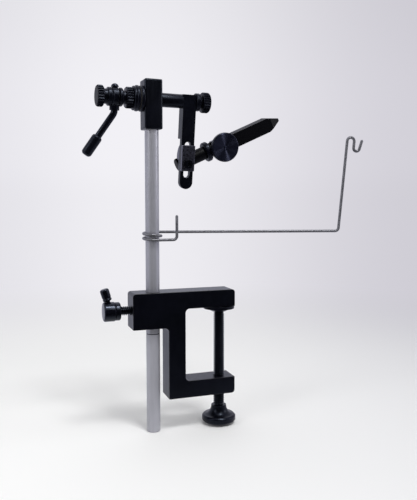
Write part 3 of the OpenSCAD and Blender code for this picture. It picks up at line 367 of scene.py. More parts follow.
def eased(corners, radius, steps=4):
    """Profile with its inner corners eased. Each corner P turns into the curve (1-t)^2 A + 2t(1-t) P + t^2 B, where
    A and B lie on the two sides at the given radius from P, or at 0.45 of the side where that is shorter."""
    p = np.asarray(corners, float)
    before, after = p[:-2] - p[1:-1], p[2:] - p[1:-1]
    lb, la = np.linalg.norm(before, axis=1), np.linalg.norm(after, axis=1)
    a = p[1:-1] + before / lb[:, None] * np.minimum(radius, 0.45 * lb)[:, None]
    b = p[1:-1] + after / la[:, None] * np.minimum(radius, 0.45 * la)[:, None]
    t = np.linspace(0, 1, steps + 1)[None, :, None]
    arcs = (1 - t) ** 2 * a[:, None] + 2 * t * (1 - t) * p[1:-1, None] + t ** 2 * b[:, None]
    return np.concatenate([p[:1], arcs.reshape(-1, 2), p[-1:]])


def softened(corners, radius, closed=False):
    """Eased outline without its two ends on the axis. A closed one starts and ends in the middle of its last side."""
    p = np.asarray(corners, float)
    if not closed:
        return eased(p, radius)[1:-1]
    middle = (p[:1] + p[-1:]) / 2
    return eased(np.concatenate([middle, p, middle]), radius)[:-1]


def rings(profile, segments):
    """Grid of a turned surface: the profile's point (r, z) at angle a is (r cos a, r sin a, z)."""
    a = np.arange(segments) * 2 * np.pi / segments
    r, z = profile[:, 0, None], profile[:, 1, None]
    return np.stack([r * np.cos(a), r * np.sin(a), z + 0 * a], -1)


def ridged(profile, segments, count, radius, depth, start, end):
    """Grid of a turned surface with straight grooves between start and end: there the radius is at most
    radius - depth * (1/2 - 1/2 cos(count * a)) ^ 0.7."""
    a = np.arange(segments) * 2 * np.pi / segments
    groove = radius - depth * (0.5 - 0.5 * np.cos(count * a)) ** 0.7
    r, z = profile[:, 0, None] + 0 * a, profile[:, 1, None] + 0 * a
    r = np.where((z > start) & (z < end), np.minimum(r, groove), r)
    return np.stack([r * np.cos(a), r * np.sin(a), z], -1)


def thread(d, pitch, depth, start, end, segments=48, rows=14):
    """Grid of a screw thread about z: with w the distance of z/pitch - a/2pi from the nearest whole number, the
    radius is d/2 less depth times a step in w that is smoothed between 1/16 and 7/16, and it fades to the root at
    both ends over one pitch."""
    a = np.arange(segments) * 2 * np.pi / segments
    z = np.linspace(start, end, int((end - start) / pitch * rows) + 1)[:, None] + 0 * a
    w = z / pitch - a / (2 * np.pi)
    w = np.abs(w - np.round(w))
    t = np.clip((w - 1 / 16) / (3 / 8), 0, 1)
    fade = np.clip(np.minimum(z - start, end - z) / pitch, 0, 1)
    r = d / 2 - depth * (1 - (1 - t * t * (3 - 2 * t)) * fade)
    return np.stack([r * np.cos(a), r * np.sin(a), z], -1)


def tube(path, radius, toward, sides=16, cap=4):
    """Grid of a round wire along a path, with rounded ends. At each path point the ring lies square to the path,
    and its first point leans towards one fixed vector. The last stretch of one radius at both ends has the ring
    radius R sqrt(1 - (1 - s)^2), with s from 0 to 1."""
    path = np.asarray(path, float)
    s = (1 - np.cos(np.linspace(0, np.pi / 2, cap + 1)))[1:-1]
    first = (path[1] - path[0]) / np.linalg.norm(path[1] - path[0])
    last = (path[-1] - path[-2]) / np.linalg.norm(path[-1] - path[-2])
    reach = np.append(s, 1.0)[:, None] * radius
    path = np.concatenate([path[:1] + first * 1e-5 * radius, path[:1] + reach * first, path[1:-1],
                           (path[-1:] - reach * last)[::-1], path[-1:] - last * 1e-5 * radius])
    size = np.full(len(path), radius)
    nose = radius * np.sqrt(1 - (1 - np.append(0.02, s)) ** 2)
    size[:cap], size[-cap:] = nose, nose[::-1]
    way = np.gradient(path, axis=0)
    way /= np.linalg.norm(way, axis=1)[:, None]
    side = np.asarray(toward, float) - (way @ np.asarray(toward, float))[:, None] * way
    side /= np.linalg.norm(side, axis=1)[:, None]
    over = np.cross(way, side)
    a = np.arange(sides) * 2 * np.pi / sides
    ring = np.cos(a)[:, None] * side[:, None] + np.sin(a)[:, None] * over[:, None]
    return path[:, None] + size[:, None, None] * ring


def arc(centre, u, v, radius, start, end, steps=16):
    """Points c + r cos(t) u + r sin(t) v, for t from start to end."""
    t = np.linspace(start, end, steps + 1)[:, None]
    return np.asarray(centre) + radius * (np.cos(t) * u + np.sin(t) * v)


# ---------------------------------------------------------------- meshes and placing

def skin(name, grid, place, closed=False):
    """Mesh of a grid of rings. Neighbouring rings are joined by quads, and the ends are closed by fans round a pole,
    or, where closed is true, the last ring joins the first. The UV map holds the turn and the way along the rings."""
    rows, cols = grid.shape[:2]
    flat = grid.reshape(-1, 3)
    i = np.arange(rows if closed else rows - 1)[:, None]
    j = np.arange(cols)[None, :]
    up, on = (i + 1) % rows, (j + 1) % cols
    quads = np.stack(np.broadcast_arrays(i * cols + j, i * cols + on, up * cols + on, up * cols + j), -1)
    way = np.append(0, np.cumsum(np.linalg.norm(np.diff(grid[:, 0], axis=0), axis=1)))
    way = np.append(way, way[-1] + np.linalg.norm(grid[0, 0] - grid[-1, 0]))
    cell = ((j, way[i]), (j + 1, way[i]), (j + 1, way[i + 1]), (j, way[i + 1]))
    uv = np.stack([np.stack(np.broadcast_arrays(u / cols, v), -1) for u, v in cell], -2)
    corners, uvs, sizes = [quads.ravel()], [uv.reshape(-1, 2)], [np.full(quads.size // 4, 4)]
    if not closed:
        k = np.arange(cols)
        n, top = (k + 1) % cols, (rows - 1) * cols
        for pole, (ring, one, two, v) in enumerate(((grid[0], n, k, 0.0), (grid[-1], top + k, top + n, way[-2]))):
            flat = np.concatenate([flat, ring.mean(0)[None]])
            corners.append(np.stack([np.full(cols, rows * cols + pole), one, two], -1).ravel())
            u = np.stack([k + 0.5, k + 1.0 - pole, k + 0.0 + pole], -1) / cols
            uvs.append(np.stack([u, np.full_like(u, v)], -1).reshape(-1, 2))
            sizes.append(np.full(cols, 3))
    flat = flat @ place[:3, :3].T + place[:3, 3]
    corners, sizes = np.concatenate(corners), np.concatenate(sizes)
    mesh = bpy.data.meshes.new(name)
    mesh.vertices.add(len(flat))
    mesh.vertices.foreach_set("co", flat.astype(np.float32).ravel())
    mesh.loops.add(len(corners))
    mesh.loops.foreach_set("vertex_index", corners.astype(np.int32))
    mesh.polygons.add(len(sizes))
    mesh.polygons.foreach_set("loop_start", (np.cumsum(sizes) - sizes).astype(np.int32))
    mesh.update(calc_edges=True)
    layer = mesh.uv_layers.new(name="turned")
    layer.data.foreach_set("uv", np.concatenate(uvs).astype(np.float32).ravel())
    mesh.validate()
    return mesh


def show(node, mesh, coats, sharp=35):
    """Shows a mesh in place of a CAD node: smooth except at sharp edges, with its finishes, on the node's body."""
    mesh.polygons.foreach_set("use_smooth", np.ones(len(mesh.polygons), bool))
    mesh.set_sharp_from_angle(angle=math.radians(sharp))
    for coat in coats:
        mesh.materials.append(finish(coat))
    piece = bpy.data.objects.new("vise_" + node, mesh)
    bpy.context.scene.collection.objects.link(piece)
    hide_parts(node)
    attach(piece, BODY[node])
    return piece


def put(node, grid, place, *coats, closed=False, sharp=35):
    """Shows a grid of rings in place of a CAD node."""
    return show(node, skin("vise_" + node, grid, place, closed), coats, sharp)


def turned(node, corners, place, *coats, radius=EASE, segments=96, closed=False):
    """Turned piece: an eased outline carried round its axis."""
    return put(node, rings(softened(corners, radius, closed), segments), place, *coats, closed=closed)


def recoat(piece, place, inside):
    """Gives the second finish to the cells that pass a test of their middle's height along the piece's axis and its
    distance from that axis."""
    polygons = piece.data.polygons
    middle = np.empty(len(polygons) * 3, np.float32)
    polygons.foreach_get("center", middle)
    local = (middle.reshape(-1, 3) - place[:3, 3]) @ place[:3, :3]
    polygons.foreach_set("material_index", inside(local[:, 2], np.hypot(local[:, 0], local[:, 1])).astype(np.int32))


def milled(node, width, coat, edge_wear_and_highlight="worn_and_highlit_edge"):
    """Milled piece: the CAD node's mesh, copied, merged and cleared of flat triangle edges, with its sharp edges
    broken by a narrow Bevel that has the edge finish, worn and lighter, which is partly a painted highlight."""
    work = bmesh.new()
    work.from_mesh(frame["nodes"][node].data)
    bmesh.ops.remove_doubles(work, verts=work.verts, dist=0.002 * MM)
    bmesh.ops.dissolve_limit(work, angle_limit=math.radians(0.4), verts=work.verts, edges=work.edges)
    mesh = bpy.data.meshes.new("vise_" + node)
    work.to_mesh(mesh)
    work.free()
    piece = show(node, mesh, (coat, edge_wear_and_highlight))
    mesh.polygons.foreach_set("material_index", np.zeros(len(mesh.polygons), np.int32))
    bevel = piece.modifiers.new("Broken edges", "BEVEL")
    bevel.width, bevel.segments, bevel.limit_method, bevel.material = width, 3, "ANGLE", 1
    bevel.angle_limit = math.radians(30)


# ---------------------------------------------------------------- finishes

class Nodes:
    """Short calls that add nodes to one node tree."""

    def __init__(self, tree):
        self.tree = tree
        self.where = tree.nodes.new("ShaderNodeTexCoord")

    def wire(self, value, socket):
        """Links a socket, or sets a plain value."""
        if isinstance(value, bpy.types.NodeSocket):
            self.tree.links.new(value, socket)
        else:
            socket.default_value = value

    def math(self, operation, one, two):
        """Result of a sum, product or other operation on two numbers."""
        node = self.tree.nodes.new("ShaderNodeMath")
        node.operation = operation
        self.wire(one, node.inputs[0])
        self.wire(two, node.inputs[1])
        return node.outputs[0]

    def vector(self, operation, one, two=(0, 0, 0), scale=1.0):
        """Result of a vector operation; dot product and length give a number."""
        node = self.tree.nodes.new("ShaderNodeVectorMath")
        node.operation = operation
        self.wire(one, node.inputs[0])
        if operation == "SCALE":
            self.wire(scale, node.inputs["Scale"])
        else:
            self.wire(two, node.inputs[1])
        return node.outputs["Value" if operation in ("DOT_PRODUCT", "LENGTH") else "Vector"]

    def span(self, value, low, high, to_low, to_high):
        """A value carried from one range to another, smooth and clamped."""
        node = self.tree.nodes.new("ShaderNodeMapRange")
        node.interpolation_type = "SMOOTHSTEP"
        for name, v in zip(("Value", "From Min", "From Max", "To Min", "To Max"), (value, low, high, to_low, to_high)):
            self.wire(v, node.inputs[name])
        return node.outputs["Result"]

    def blend(self, factor, one, two):
        """Colour between two colours by a factor."""
        node = self.tree.nodes.new("ShaderNodeMix")
        node.data_type = "RGBA"
        self.wire(factor, node.inputs[0])
        for value, socket in ((one, node.inputs[6]), (two, node.inputs[7])):
            self.wire(value if isinstance(value, bpy.types.NodeSocket) else (*value, 1.0), socket)
        return node.outputs[2]

    def rays(self):
        """Light Path: camera rays, and rays that show the background in glossy and clear things."""
        path = self.tree.nodes.new("ShaderNodeLightPath")
        return path.outputs["Is Camera Ray"], self.math("MAXIMUM", path.outputs["Is Glossy Ray"],
                                                        path.outputs["Is Transmission Ray"])


class Finish(Nodes):
    """One finish: a Principled shader, and short calls that add the nodes of its grain."""

    def __init__(self, name):
        self.material = bpy.data.materials.new(name)
        self.material.use_nodes = True
        super().__init__(self.material.node_tree)
        self.shader = self.tree.nodes["Principled BSDF"]
        self.relief = None

    def base(self, metal=0.0, gloss=0.5, sheen=(1, 1, 1)):
        """Share of bare metal, strength of the mirror light and its tint."""
        self.shader.inputs["Metallic"].default_value = metal
        self.shader.inputs["Specular IOR Level"].default_value = gloss
        self.shader.inputs["Specular Tint"].default_value = (*sheen, 1)

    def noise(self, scale, detail=3.0, stretch=None, source="Object", rough=0.5, twist=0.0):
        """Noise at a scale per metre; stretch multiplies the coordinates."""
        node = self.tree.nodes.new("ShaderNodeTexNoise")
        spot = self.where.outputs[source]
        self.wire(self.vector("MULTIPLY", spot, stretch) if stretch else spot, node.inputs["Vector"])
        for name, value in (("Scale", scale), ("Detail", detail), ("Roughness", rough), ("Distortion", twist)):
            node.inputs[name].default_value = value
        return node.outputs["Fac"]

    def lines(self, detail, along, around=0.0):
        """Noise on the piece's own UV map: rings round it, or short lines where it also changes around the piece."""
        return self.noise(1, detail, stretch=(around, along, 0), source="UV")

    def bump(self, height, depth, strength):
        """Adds one layer of relief, with its depth in millimetres."""
        node = self.tree.nodes.new("ShaderNodeBump")
        node.inputs["Distance"].default_value = depth * MM
        node.inputs["Strength"].default_value = strength
        self.wire(height, node.inputs["Height"])
        if self.relief:
            self.wire(self.relief, node.inputs["Normal"])
        self.relief = node.outputs["Normal"]

    def tone(self, field, colour, low, high, start=0.3, end=0.7, blue=1.0):
        """The colour times low where the field is under start, up to the colour times high above end."""
        return self.blend(self.span(field, start, end, 0, 1), tint(colour, low), tint(colour, high, blue))

    def done(self, colour, rough):
        """Wires colour, roughness and relief to the shader."""
        self.wire(colour, self.shader.inputs["Base Color"])
        self.wire(rough, self.shader.inputs["Roughness"])
        self.wire(self.relief, self.shader.inputs["Normal"])


def tint(base, factor, blue=1.0):
    """A colour times a factor, a little bluer if asked."""
    return (base[0] * factor, base[1] * factor, base[2] * factor * blue)


def finish(name):
    """Material of a finish, made once and then kept. The prefix keeps it apart from the frame's own materials."""
    label = "vise_" + name
    if label not in bpy.data.materials:
        f = Finish(label)
        f.done(*FINISHES[name](f, bpy.context.scene.vise_finishes))
    return bpy.data.materials[label]


def black_anodised(f, c):
    """Satin black anodised aluminium: fine blasted grain, cloudy sheen and faint handling marks."""
    f.base(gloss=0.28, sheen=c.sheen)
    f.bump(f.noise(5200, 2), 0.012, 0.5)
    f.bump(f.noise(700, 3), 0.01, 0.3)
    marks = f.noise(900, 3, stretch=(1, 1, 0.08), twist=0.4)
    return f.tone(f.noise(55, 4, rough=0.6), c.black, 0.75, 1.35, blue=1.1), f.span(marks, 0.35, 0.7, 0.28, 0.38)


def worn_and_highlit_edge(f, c):
    """Edges of the black parts: the finish is thin there, and bare metal shows in short runs; the lighter colour is
    also a painted highlight along the edges.
    """
    f.base(gloss=0.35)
    f.bump(f.noise(3800, 2), 0.008, 0.4)
    runs = f.span(f.noise(1400, 4, rough=0.7), 0.5, 0.68, 0, 1)
    return f.blend(runs, tint(c.black, 1.6), c.black_worn_and_highlit), f.span(runs, 0, 1, 0.38, 0.27)


def black_oxide(f, c):
    """Black oxide on steel: slightly brown-blue blotches, thin oil sheen, fine tool marks."""
    f.base(gloss=0.35, sheen=c.sheen)
    f.bump(f.noise(3400, 3), 0.004, 0.5)
    blotch = f.noise(260, 5, rough=0.65, twist=0.6)
    return f.tone(blotch, c.oxide, 0.7, 1.7, 0.3, 0.75, 1.15), f.span(f.noise(1100, 3), 0.3, 0.7, 0.15, 0.24)


def jaw_black(f, c):
    """Dull black of the jaws: etched grain with small painted glints, lighter specks in the colour, and hardly any
    sheen.
    """
    f.base(gloss=0.08)
    grain = f.noise(2600, 4, rough=0.7)
    f.bump(grain, 0.02, 0.5)
    # painted glints: small specks of the lighter worn black in the colour
    painted_glints = f.span(f.noise(3900, 2), 0.66, 0.8, 0, 0.5)
    return f.blend(painted_glints, c.oxide, c.black_worn_and_highlit), f.span(grain, 0.3, 0.7, 0.34, 0.5)


def turned_black(f, c):
    """Black anodised and turned on a lathe: fine rings along the piece."""
    f.base(gloss=0.2, sheen=c.sheen)
    lines = f.lines(4, 9000)
    f.bump(lines, 0.004, 0.4)
    f.bump(f.noise(4200, 2), 0.004, 0.3)
    return f.tone(f.noise(120, 3), c.black, 0.85, 1.7, blue=1.1), f.span(lines, 0.3, 0.7, 0.24, 0.34)


def brushed_face(f, c):
    """Face of the jaw knob, turned flat: rings that stretch each highlight into a bow across the face."""
    f.base(metal=1.0)
    lines = f.lines(5, 12000)
    f.bump(lines, 0.006, 0.35)
    way = f.tree.nodes.new("ShaderNodeTangent")
    way.direction_type, way.uv_map = "UV_MAP", "turned"
    f.wire(way.outputs["Tangent"], f.shader.inputs["Tangent"])
    f.wire(1.0, f.shader.inputs["Anisotropic"])
    f.wire(0.25, f.shader.inputs["Anisotropic Rotation"])
    return f.tone(lines, c.knob, 0.75, 1.25), f.span(lines, 0.3, 0.7, 0.29, 0.38)


def satin_post(f, c):
    """Centreless-ground steel of the post: fine rings, faint long streaks and light clouding."""
    f.base(metal=0.42, gloss=0.4)
    f.bump(f.lines(4, 7000), 0.007, 0.35)
    streaks = f.noise(620, 3, stretch=(1, 1, 0.012))
    tone = f.tone(f.noise(38, 4, stretch=(1, 1, 0.5), rough=0.6), c.post, 0.93, 1.07)
    return (f.blend(f.span(streaks, 0.52, 0.72, 0, 0.55), tone, tint(c.post, 0.84)),
            f.span(streaks, 0.35, 0.7, 0.34, 0.44))


def brushed_post(f, c):
    """Lower section of the post: the same steel, brushed lengthwise and a little lighter."""
    f.base(metal=0.2, gloss=0.4)
    streaks = f.noise(1500, 4, stretch=(1, 1, 0.01))
    f.bump(streaks, 0.012, 0.4)
    tone = f.tone(f.noise(60, 4, stretch=(1, 1, 0.3), rough=0.6), c.post, 1.0, 1.14)
    return (f.blend(f.span(streaks, 0.5, 0.7, 0, 0.6), tone, tint(c.post, 0.92)),
            f.span(streaks, 0.3, 0.7, 0.34, 0.5))


def drawn_wire(f, c):
    """Drawn steel wire: die lines along the wire and small dull spots."""
    f.base(metal=0.55)
    f.bump(f.lines(3, 60, 60), 0.01, 0.4)
    spots = f.noise(500, 4)
    return f.tone(spots, c.wire, 0.82, 1.2, 0.35), f.span(spots, 0.3, 0.7, 0.3, 0.46)


def spring_wire(f, c):
    """Bright spring wire with fine draw lines."""
    f.base(metal=0.9)
    lines = f.lines(3, 900, 60)
    f.bump(lines, 0.006, 0.4)
    return f.tone(lines, c.spring, 0.85, 1.15), 0.3


def blasted_grey(f, c):
    """Blasted grey of the slider: coarse mottling with light specks, and a rougher grain."""
    f.base(metal=0.93)
    mottle, specks = f.noise(900, 4, rough=0.7), f.noise(3600, 2)
    f.bump(specks, 0.03, 0.6)
    tone = f.tone(mottle, c.grey, 0.62, 1.35, 0.35, 0.68)
    return (f.blend(f.span(specks, 0.6, 0.75, 0, 0.7), tone, tint(c.grey, 1.9)),
            f.span(mottle, 0.3, 0.7, 0.26, 0.38))


def worn_and_highlit_grey_edge(f, c):
    """Edges of the grey parts, rubbed brighter: partly wear, partly a painted highlight along the edges."""
    f.base(metal=0.5)
    f.bump(f.noise(3600, 2), 0.01, 0.4)
    runs = f.span(f.noise(1300, 4, rough=0.7), 0.42, 0.62, 0, 1)
    return f.blend(runs, tint(c.grey, 0.9), tint(c.grey, 1.6)), f.span(runs, 0, 1, 0.42, 0.3)


def plain_brass(f, c):
    """Turned brass, slightly tarnished."""
    f.base(metal=1.0)
    f.bump(f.noise(2600, 3), 0.01, 0.4)
    tarnish = f.noise(400, 4, rough=0.6)
    return f.tone(tarnish, c.brass, 1.0, 0.5, 0.4), f.span(tarnish, 0.35, 0.7, 0.26, 0.45)


def friction_fibre(f, c):
    """Pressed fibre of the friction washer."""
    f.base(gloss=0.3)
    fibres = f.noise(2400, 4, stretch=(1, 1, 0.3), rough=0.7)
    f.bump(fibres, 0.03, 0.7)
    return f.tone(fibres, c.friction, 0.7, 1.6, 0.35, 0.65), 0.75


FINISHES = {f.__name__: f for f in (
    black_anodised, worn_and_highlit_edge, black_oxide, jaw_black, turned_black, brushed_face, satin_post, brushed_post,
    drawn_wire, spring_wire, blasted_grey, worn_and_highlit_grey_edge, plain_brass, friction_fibre)}


# ---------------------------------------------------------------- pieces

def collar_profile(d, start, end, edge=CHAMFER):
    """Outline of a chamfered collar from start to end along its axis, without its faces."""
    return [(d / 2 - edge, start), (d / 2, start + edge), (d / 2, end - edge), (d / 2 - edge, end)]


def rod_profile(d, start, end, edge=CHAMFER):
    """Outline of a chamfered rod, from its axis at the start to its axis at the end."""
    return [(0, start), *collar_profile(d, start, end, edge), (0, end)]


def nut_profile(s, shape):
    """Outline of a thumb nut from its collar to its knurled head, the head's start and the nut's end."""
    collar_l, neck_d, neck_l, head_l = shape
    start, end = collar_l + neck_l, collar_l + neck_l + head_l
    return [*collar_profile(s.collar_d, 0, collar_l), (neck_d / 2, collar_l), (neck_d / 2, start),
            *collar_profile(s.nut_d, start, end, NUT_CHAMFER)], start, end


def knurled(node, corners, s, start, end, place, closed, *coats):
    """Thumb nut with straight ridges between start and end along its axis."""
    grid = ridged(softened(corners, NUT_EASE, closed), s.ridges * 10, s.ridges, s.nut_d / 2, s.ridge_depth,
                  start - HAIR, end + HAIR)
    return put(node, grid, place, *coats, closed=closed)


class VISE_OT_clamp(bpy.types.Operator):
    """Clamp frame, clamp screw with its helical thread, hand knob and swivel pad"""
    bl_idname = "vise.clamp"
    bl_label = "Clamp"

    def execute(self, context):
        s = context.scene.vise_clamp
        milled("clamp_frame", context.scene.vise_finishes.edge, "black_anodised")
        place = shift(s.x, 0, 0)
        rim_z = s.foot_h + s.rim_h
        hub_z = rim_z + s.hub_h
        end, seat, journal, edge = s.pad_z - GAP, s.seat_d / 2, s.journal_d / 2, 0.3 * MM
        put("clamp_screw", np.concatenate([
            rings(np.array([(seat, rim_z), (seat, hub_z)]), 48),
            thread(s.screw_d, s.pitch, s.depth, hub_z + HAIR, end),
            rings(np.array([(journal, end), (journal, end + s.journal_l - edge),
                            (journal - edge, end + s.journal_l)]), 48)]), place, "black_oxide")
        r, hub_r, edge = s.knob_d / 2, s.hub_d / 2, 1.1 * MM
        flare = (r - hub_r) * s.flare
        t = np.linspace(0, np.pi / 2, 17)
        # flare: a quarter of an ellipse from the rim's top in to the hub
        curve = np.stack([hub_r + flare - flare * np.sin(t), hub_z - s.hub_h * np.cos(t)], -1)
        put("hand_knob", rings(np.concatenate([
            softened([(0, 0), (s.foot_d / 2, 0), (s.foot_d / 2, s.foot_h), (r - edge, s.foot_h),
                      (r, s.foot_h + edge), (r, rim_z - edge), (r - edge, rim_z), (hub_r + flare, rim_z)], 0.5 * MM),
            curve[:-1],
            eased([(hub_r, hub_z - 0.5 * MM), (hub_r, hub_z), (seat, hub_z), (seat, rim_z), (0, rim_z)],
                  0.3 * MM)[:-1]]), 128), place, "turned_black")
        bore, cone, top = journal + FIT, s.cone_h, s.cone_h + s.pad_rim_h
        turned("swivel_pad", [
            (0, s.journal_l), (bore, s.journal_l), (bore, 0), (s.cone_base_d / 2, 0), (s.cone_top_d / 2, cone),
            (s.pad_d / 2, cone), (s.pad_d / 2, top), (0, top)], shift(s.x, 0, s.pad_z), "turned_black",
            radius=0.25 * MM)
        return {"FINISHED"}


class VISE_OT_lock_screw(bpy.types.Operator):
    """Lock screw with its barrel head, lever stub and soft tip"""
    bl_idname = "vise.lock_screw"
    bl_label = "Lock screw"

    def execute(self, context):
        s = context.scene.vise_lock
        place = shift(-s.head_x, 0, s.z) @ spin("Y", -math.pi / 2)
        top = s.shoulder_l + s.head_l
        barrel = eased([
            (s.screw_d / 2 - s.depth, 0), *collar_profile(s.shoulder_d, 0, s.shoulder_l + s.edge, s.edge)[:-1],
            *collar_profile(s.head_d, s.shoulder_l, top, s.edge), (0, top)], 0.3 * MM)[:-1]
        put("lock_screw", np.concatenate([thread(s.screw_d, s.pitch, s.depth, -s.screw_l, -HAIR), rings(barrel, 48)]),
            place, "black_oxide")
        lever = place @ shift(0, 0, s.lever_at) @ spin("Y", math.pi / 2 - s.lever_lean) @ shift(0, 0, s.lever_seat)
        pin, neck, r, waist = s.lever_pin_d / 2, s.lever_neck_d / 2, s.lever_d / 2, s.lever_d / 2 - 0.35 * MM
        under, base = 3.5 * MM, 3.7 * MM
        turned("lock_lever", [
            (0, 0), (pin, 0), (pin, under), (neck, under), (neck, base), (r - 0.5 * MM, base),
            (r, base + 0.5 * MM), (r, base + 1.3 * MM), (waist, base + 1.6 * MM), (waist, base + 2.0 * MM),
            (r, base + 2.3 * MM), (r, s.lever_l - 0.8 * MM), (r - 0.8 * MM, s.lever_l), (0, s.lever_l)],
            lever, "black_oxide", radius=0.35 * MM)
        turned("lock_tip", rod_profile(s.tip_d, 0, s.tip_l, 0.1 * MM),
               shift(0, 0, s.z) @ along_x(s.screw_l + FIT - s.head_x), "plain_brass")
        return {"FINISHED"}


class VISE_OT_post(bpy.types.Operator):
    """Both post sections and the stud that joins them"""
    bl_idname = "vise.post"
    bl_label = "Post"

    def execute(self, context):
        s = context.scene.vise_post
        r, rest, seam, half = s.d / 2, np.eye(4), s.seam_z, s.stud_l / 2
        groove, stud = r - s.seam_depth, s.stud_d / 2
        lower = turned("post_lower", [
            (0, 0), (r - s.edge, 0), (r, s.edge), (r, seam - s.seam_w), (groove, seam - s.seam_w), (groove, seam),
            (stud, seam), (stud, seam - half), (0, seam - half)], rest, "brushed_post", "black_oxide",
            radius=0.08 * MM)
        # the seam's groove gets the black oxide finish, darker than the post
        recoat(lower, rest, lambda z, wide: (z > seam - HAIR - s.seam_w) & (wide < r - 2 * HAIR))
        turned("post_upper", [
            (0, seam + half), (stud, seam + half), (stud, seam), (r, seam), (r, s.top_z), (0, s.top_z)], rest,
            "satin_post", radius=0.2 * MM)
        turned("post_joint_stud", rod_profile(s.stud_d - 2 * HAIR, seam - half, seam + half), rest,
               "satin_post")
        return {"FINISHED"}


class VISE_OT_cradle(bpy.types.Operator):
    """Bobbin cradle, one wire bent into tail, coil, arm, riser, loop and hook"""
    bl_idname = "vise.cradle"
    bl_label = "Bobbin cradle"

    def execute(self, context):
        s = context.scene.vise_cradle
        up, x = np.array([0, 0, 1.0]), np.array([1.0, 0, 0])
        lead = np.array([math.cos(s.swing), -math.sin(s.swing), 0])
        side = np.array([math.sin(s.swing), math.cos(s.swing), 0])
        sweep = 2 * math.pi + math.pi + s.swing
        # coil: a falls from -90 degrees by the sweep while z rises by the pitch for each turn
        a = np.linspace(0, sweep, 84)
        coil = np.stack([s.coil_r * np.cos(-np.pi / 2 - a), s.coil_r * np.sin(-np.pi / 2 - a),
                         s.z + s.pitch * a / (2 * np.pi)], -1)
        start = s.coil_r * side + (s.z + s.pitch * sweep / (2 * math.pi)) * up
        corner = start + s.arm_l * lead
        rise = math.sin(s.riser_lean) * lead + math.cos(s.riser_lean) * up
        out = math.cos(s.riser_lean) * lead - math.sin(s.riser_lean) * up
        arch = corner + s.riser_h * rise + s.loop_r * out
        hook = arch + (s.loop_r + s.hook_r) * out - s.loop_drop * rise
        end_way = math.cos(s.hook_lean) * rise + math.sin(s.hook_lean) * out
        end_out = math.cos(s.hook_lean) * out - math.sin(s.hook_lean) * rise
        lean = math.pi / 2 - s.riser_lean
        route = np.concatenate([
            [[s.tail_l, -s.coil_r, s.z + s.tail_rise]],
            arc([s.tail_l - s.bend_r, -s.coil_r, s.z + s.bend_r], -up, x, s.bend_r, math.pi / 2, 0),
            coil[:-1], [start],
            arc(corner - s.bend_r * math.tan(lean / 2) * lead + s.bend_r * up, -up, lead, s.bend_r, 0, lean),
            arc(arch, -out, rise, s.loop_r, 0, math.pi, 24),
            arc(hook, -out, -rise, s.hook_r, 0, math.pi - s.hook_lean, 24),
            [hook + s.hook_r * end_out + s.hook_end_l * end_way]])
        put("bobbin_cradle", tube(route, s.wire_d / 2, side + up, sides=20), np.eye(4), "drawn_wire", sharp=WIRE_TURN)
        return {"FINISHED"}


class VISE_OT_head(bpy.types.Operator):
    """Head block with its set screw and bushes"""
    bl_idname = "vise.head"
    bl_label = "Head"

    def execute(self, context):
        s, at = context.scene.vise_stack, context.scene.vise_layout
        milled("head_block", context.scene.vise_finishes.edge, "black_anodised")
        milled("head_set_screw", 0.12 * MM, "black_oxide")
        inner, outer, half = s.journal_d / 2 + FIT, s.bush_d / 2 - HAIR, s.head_w / 2
        ring = [(inner, s.bush_l), (inner, 0), (outer, 0), (outer, s.bush_l)]
        turned("shaft_bush_left", ring, head_frame(at) @ along_x(-half), "plain_brass", closed=True)
        turned("shaft_bush_right", ring, head_frame(at) @ along_minus_x(-half), "plain_brass", closed=True)
        return {"FINISHED"}


class VISE_OT_drag(bpy.types.Operator):
    """Drag brake: flange, friction washer, pressure disc and knurled drag nut"""
    bl_idname = "vise.drag"
    bl_label = "Drag"

    def execute(self, context):
        s, shaft = context.scene.vise_stack, rotary_frame(context.scene.vise_layout)
        inner, half, e, wide = s.journal_d / 2 + FIT, s.head_w / 2, CHAMFER, s.pressure_t * s.disc_share
        turned("brake_flange", [(inner, s.flange_t), (inner, 0), *collar_profile(s.disc_d, 0, s.flange_t)],
               shaft @ along_minus_x(half), "turned_black", closed=True)
        turned("friction_washer", [(inner, s.washer_t), (inner, 0), (s.disc_d / 2 - e, 0),
                                   (s.disc_d / 2 - e, s.washer_t)], shaft @ along_minus_x(half + s.flange_t),
               "friction_fibre", closed=True)
        turned("pressure_disc", [
            (inner, s.pressure_t), (inner, 0), *collar_profile(s.disc_d, 0, wide)[:-1], (s.disc_d / 2 - e, wide),
            (s.step_d / 2 - 0.3 * MM, wide), (s.step_d / 2, wide + 0.3 * MM), (s.step_d / 2, s.pressure_t - e),
            (s.step_d / 2 - e, s.pressure_t)], shaft @ along_minus_x(s.pressure_x), "turned_black", closed=True)
        outline, start, end = nut_profile(s, s.drag_nut)
        # the drag nut's head lies towards the disc, so its outline runs backwards
        knurled("drag_nut", [(inner, end), (inner, 0), *[(r, end - z) for r, z in outline][::-1]], s, 0, end - start,
                shaft @ along_minus_x(s.drag_nut_x), True, "turned_black")
        return {"FINISHED"}


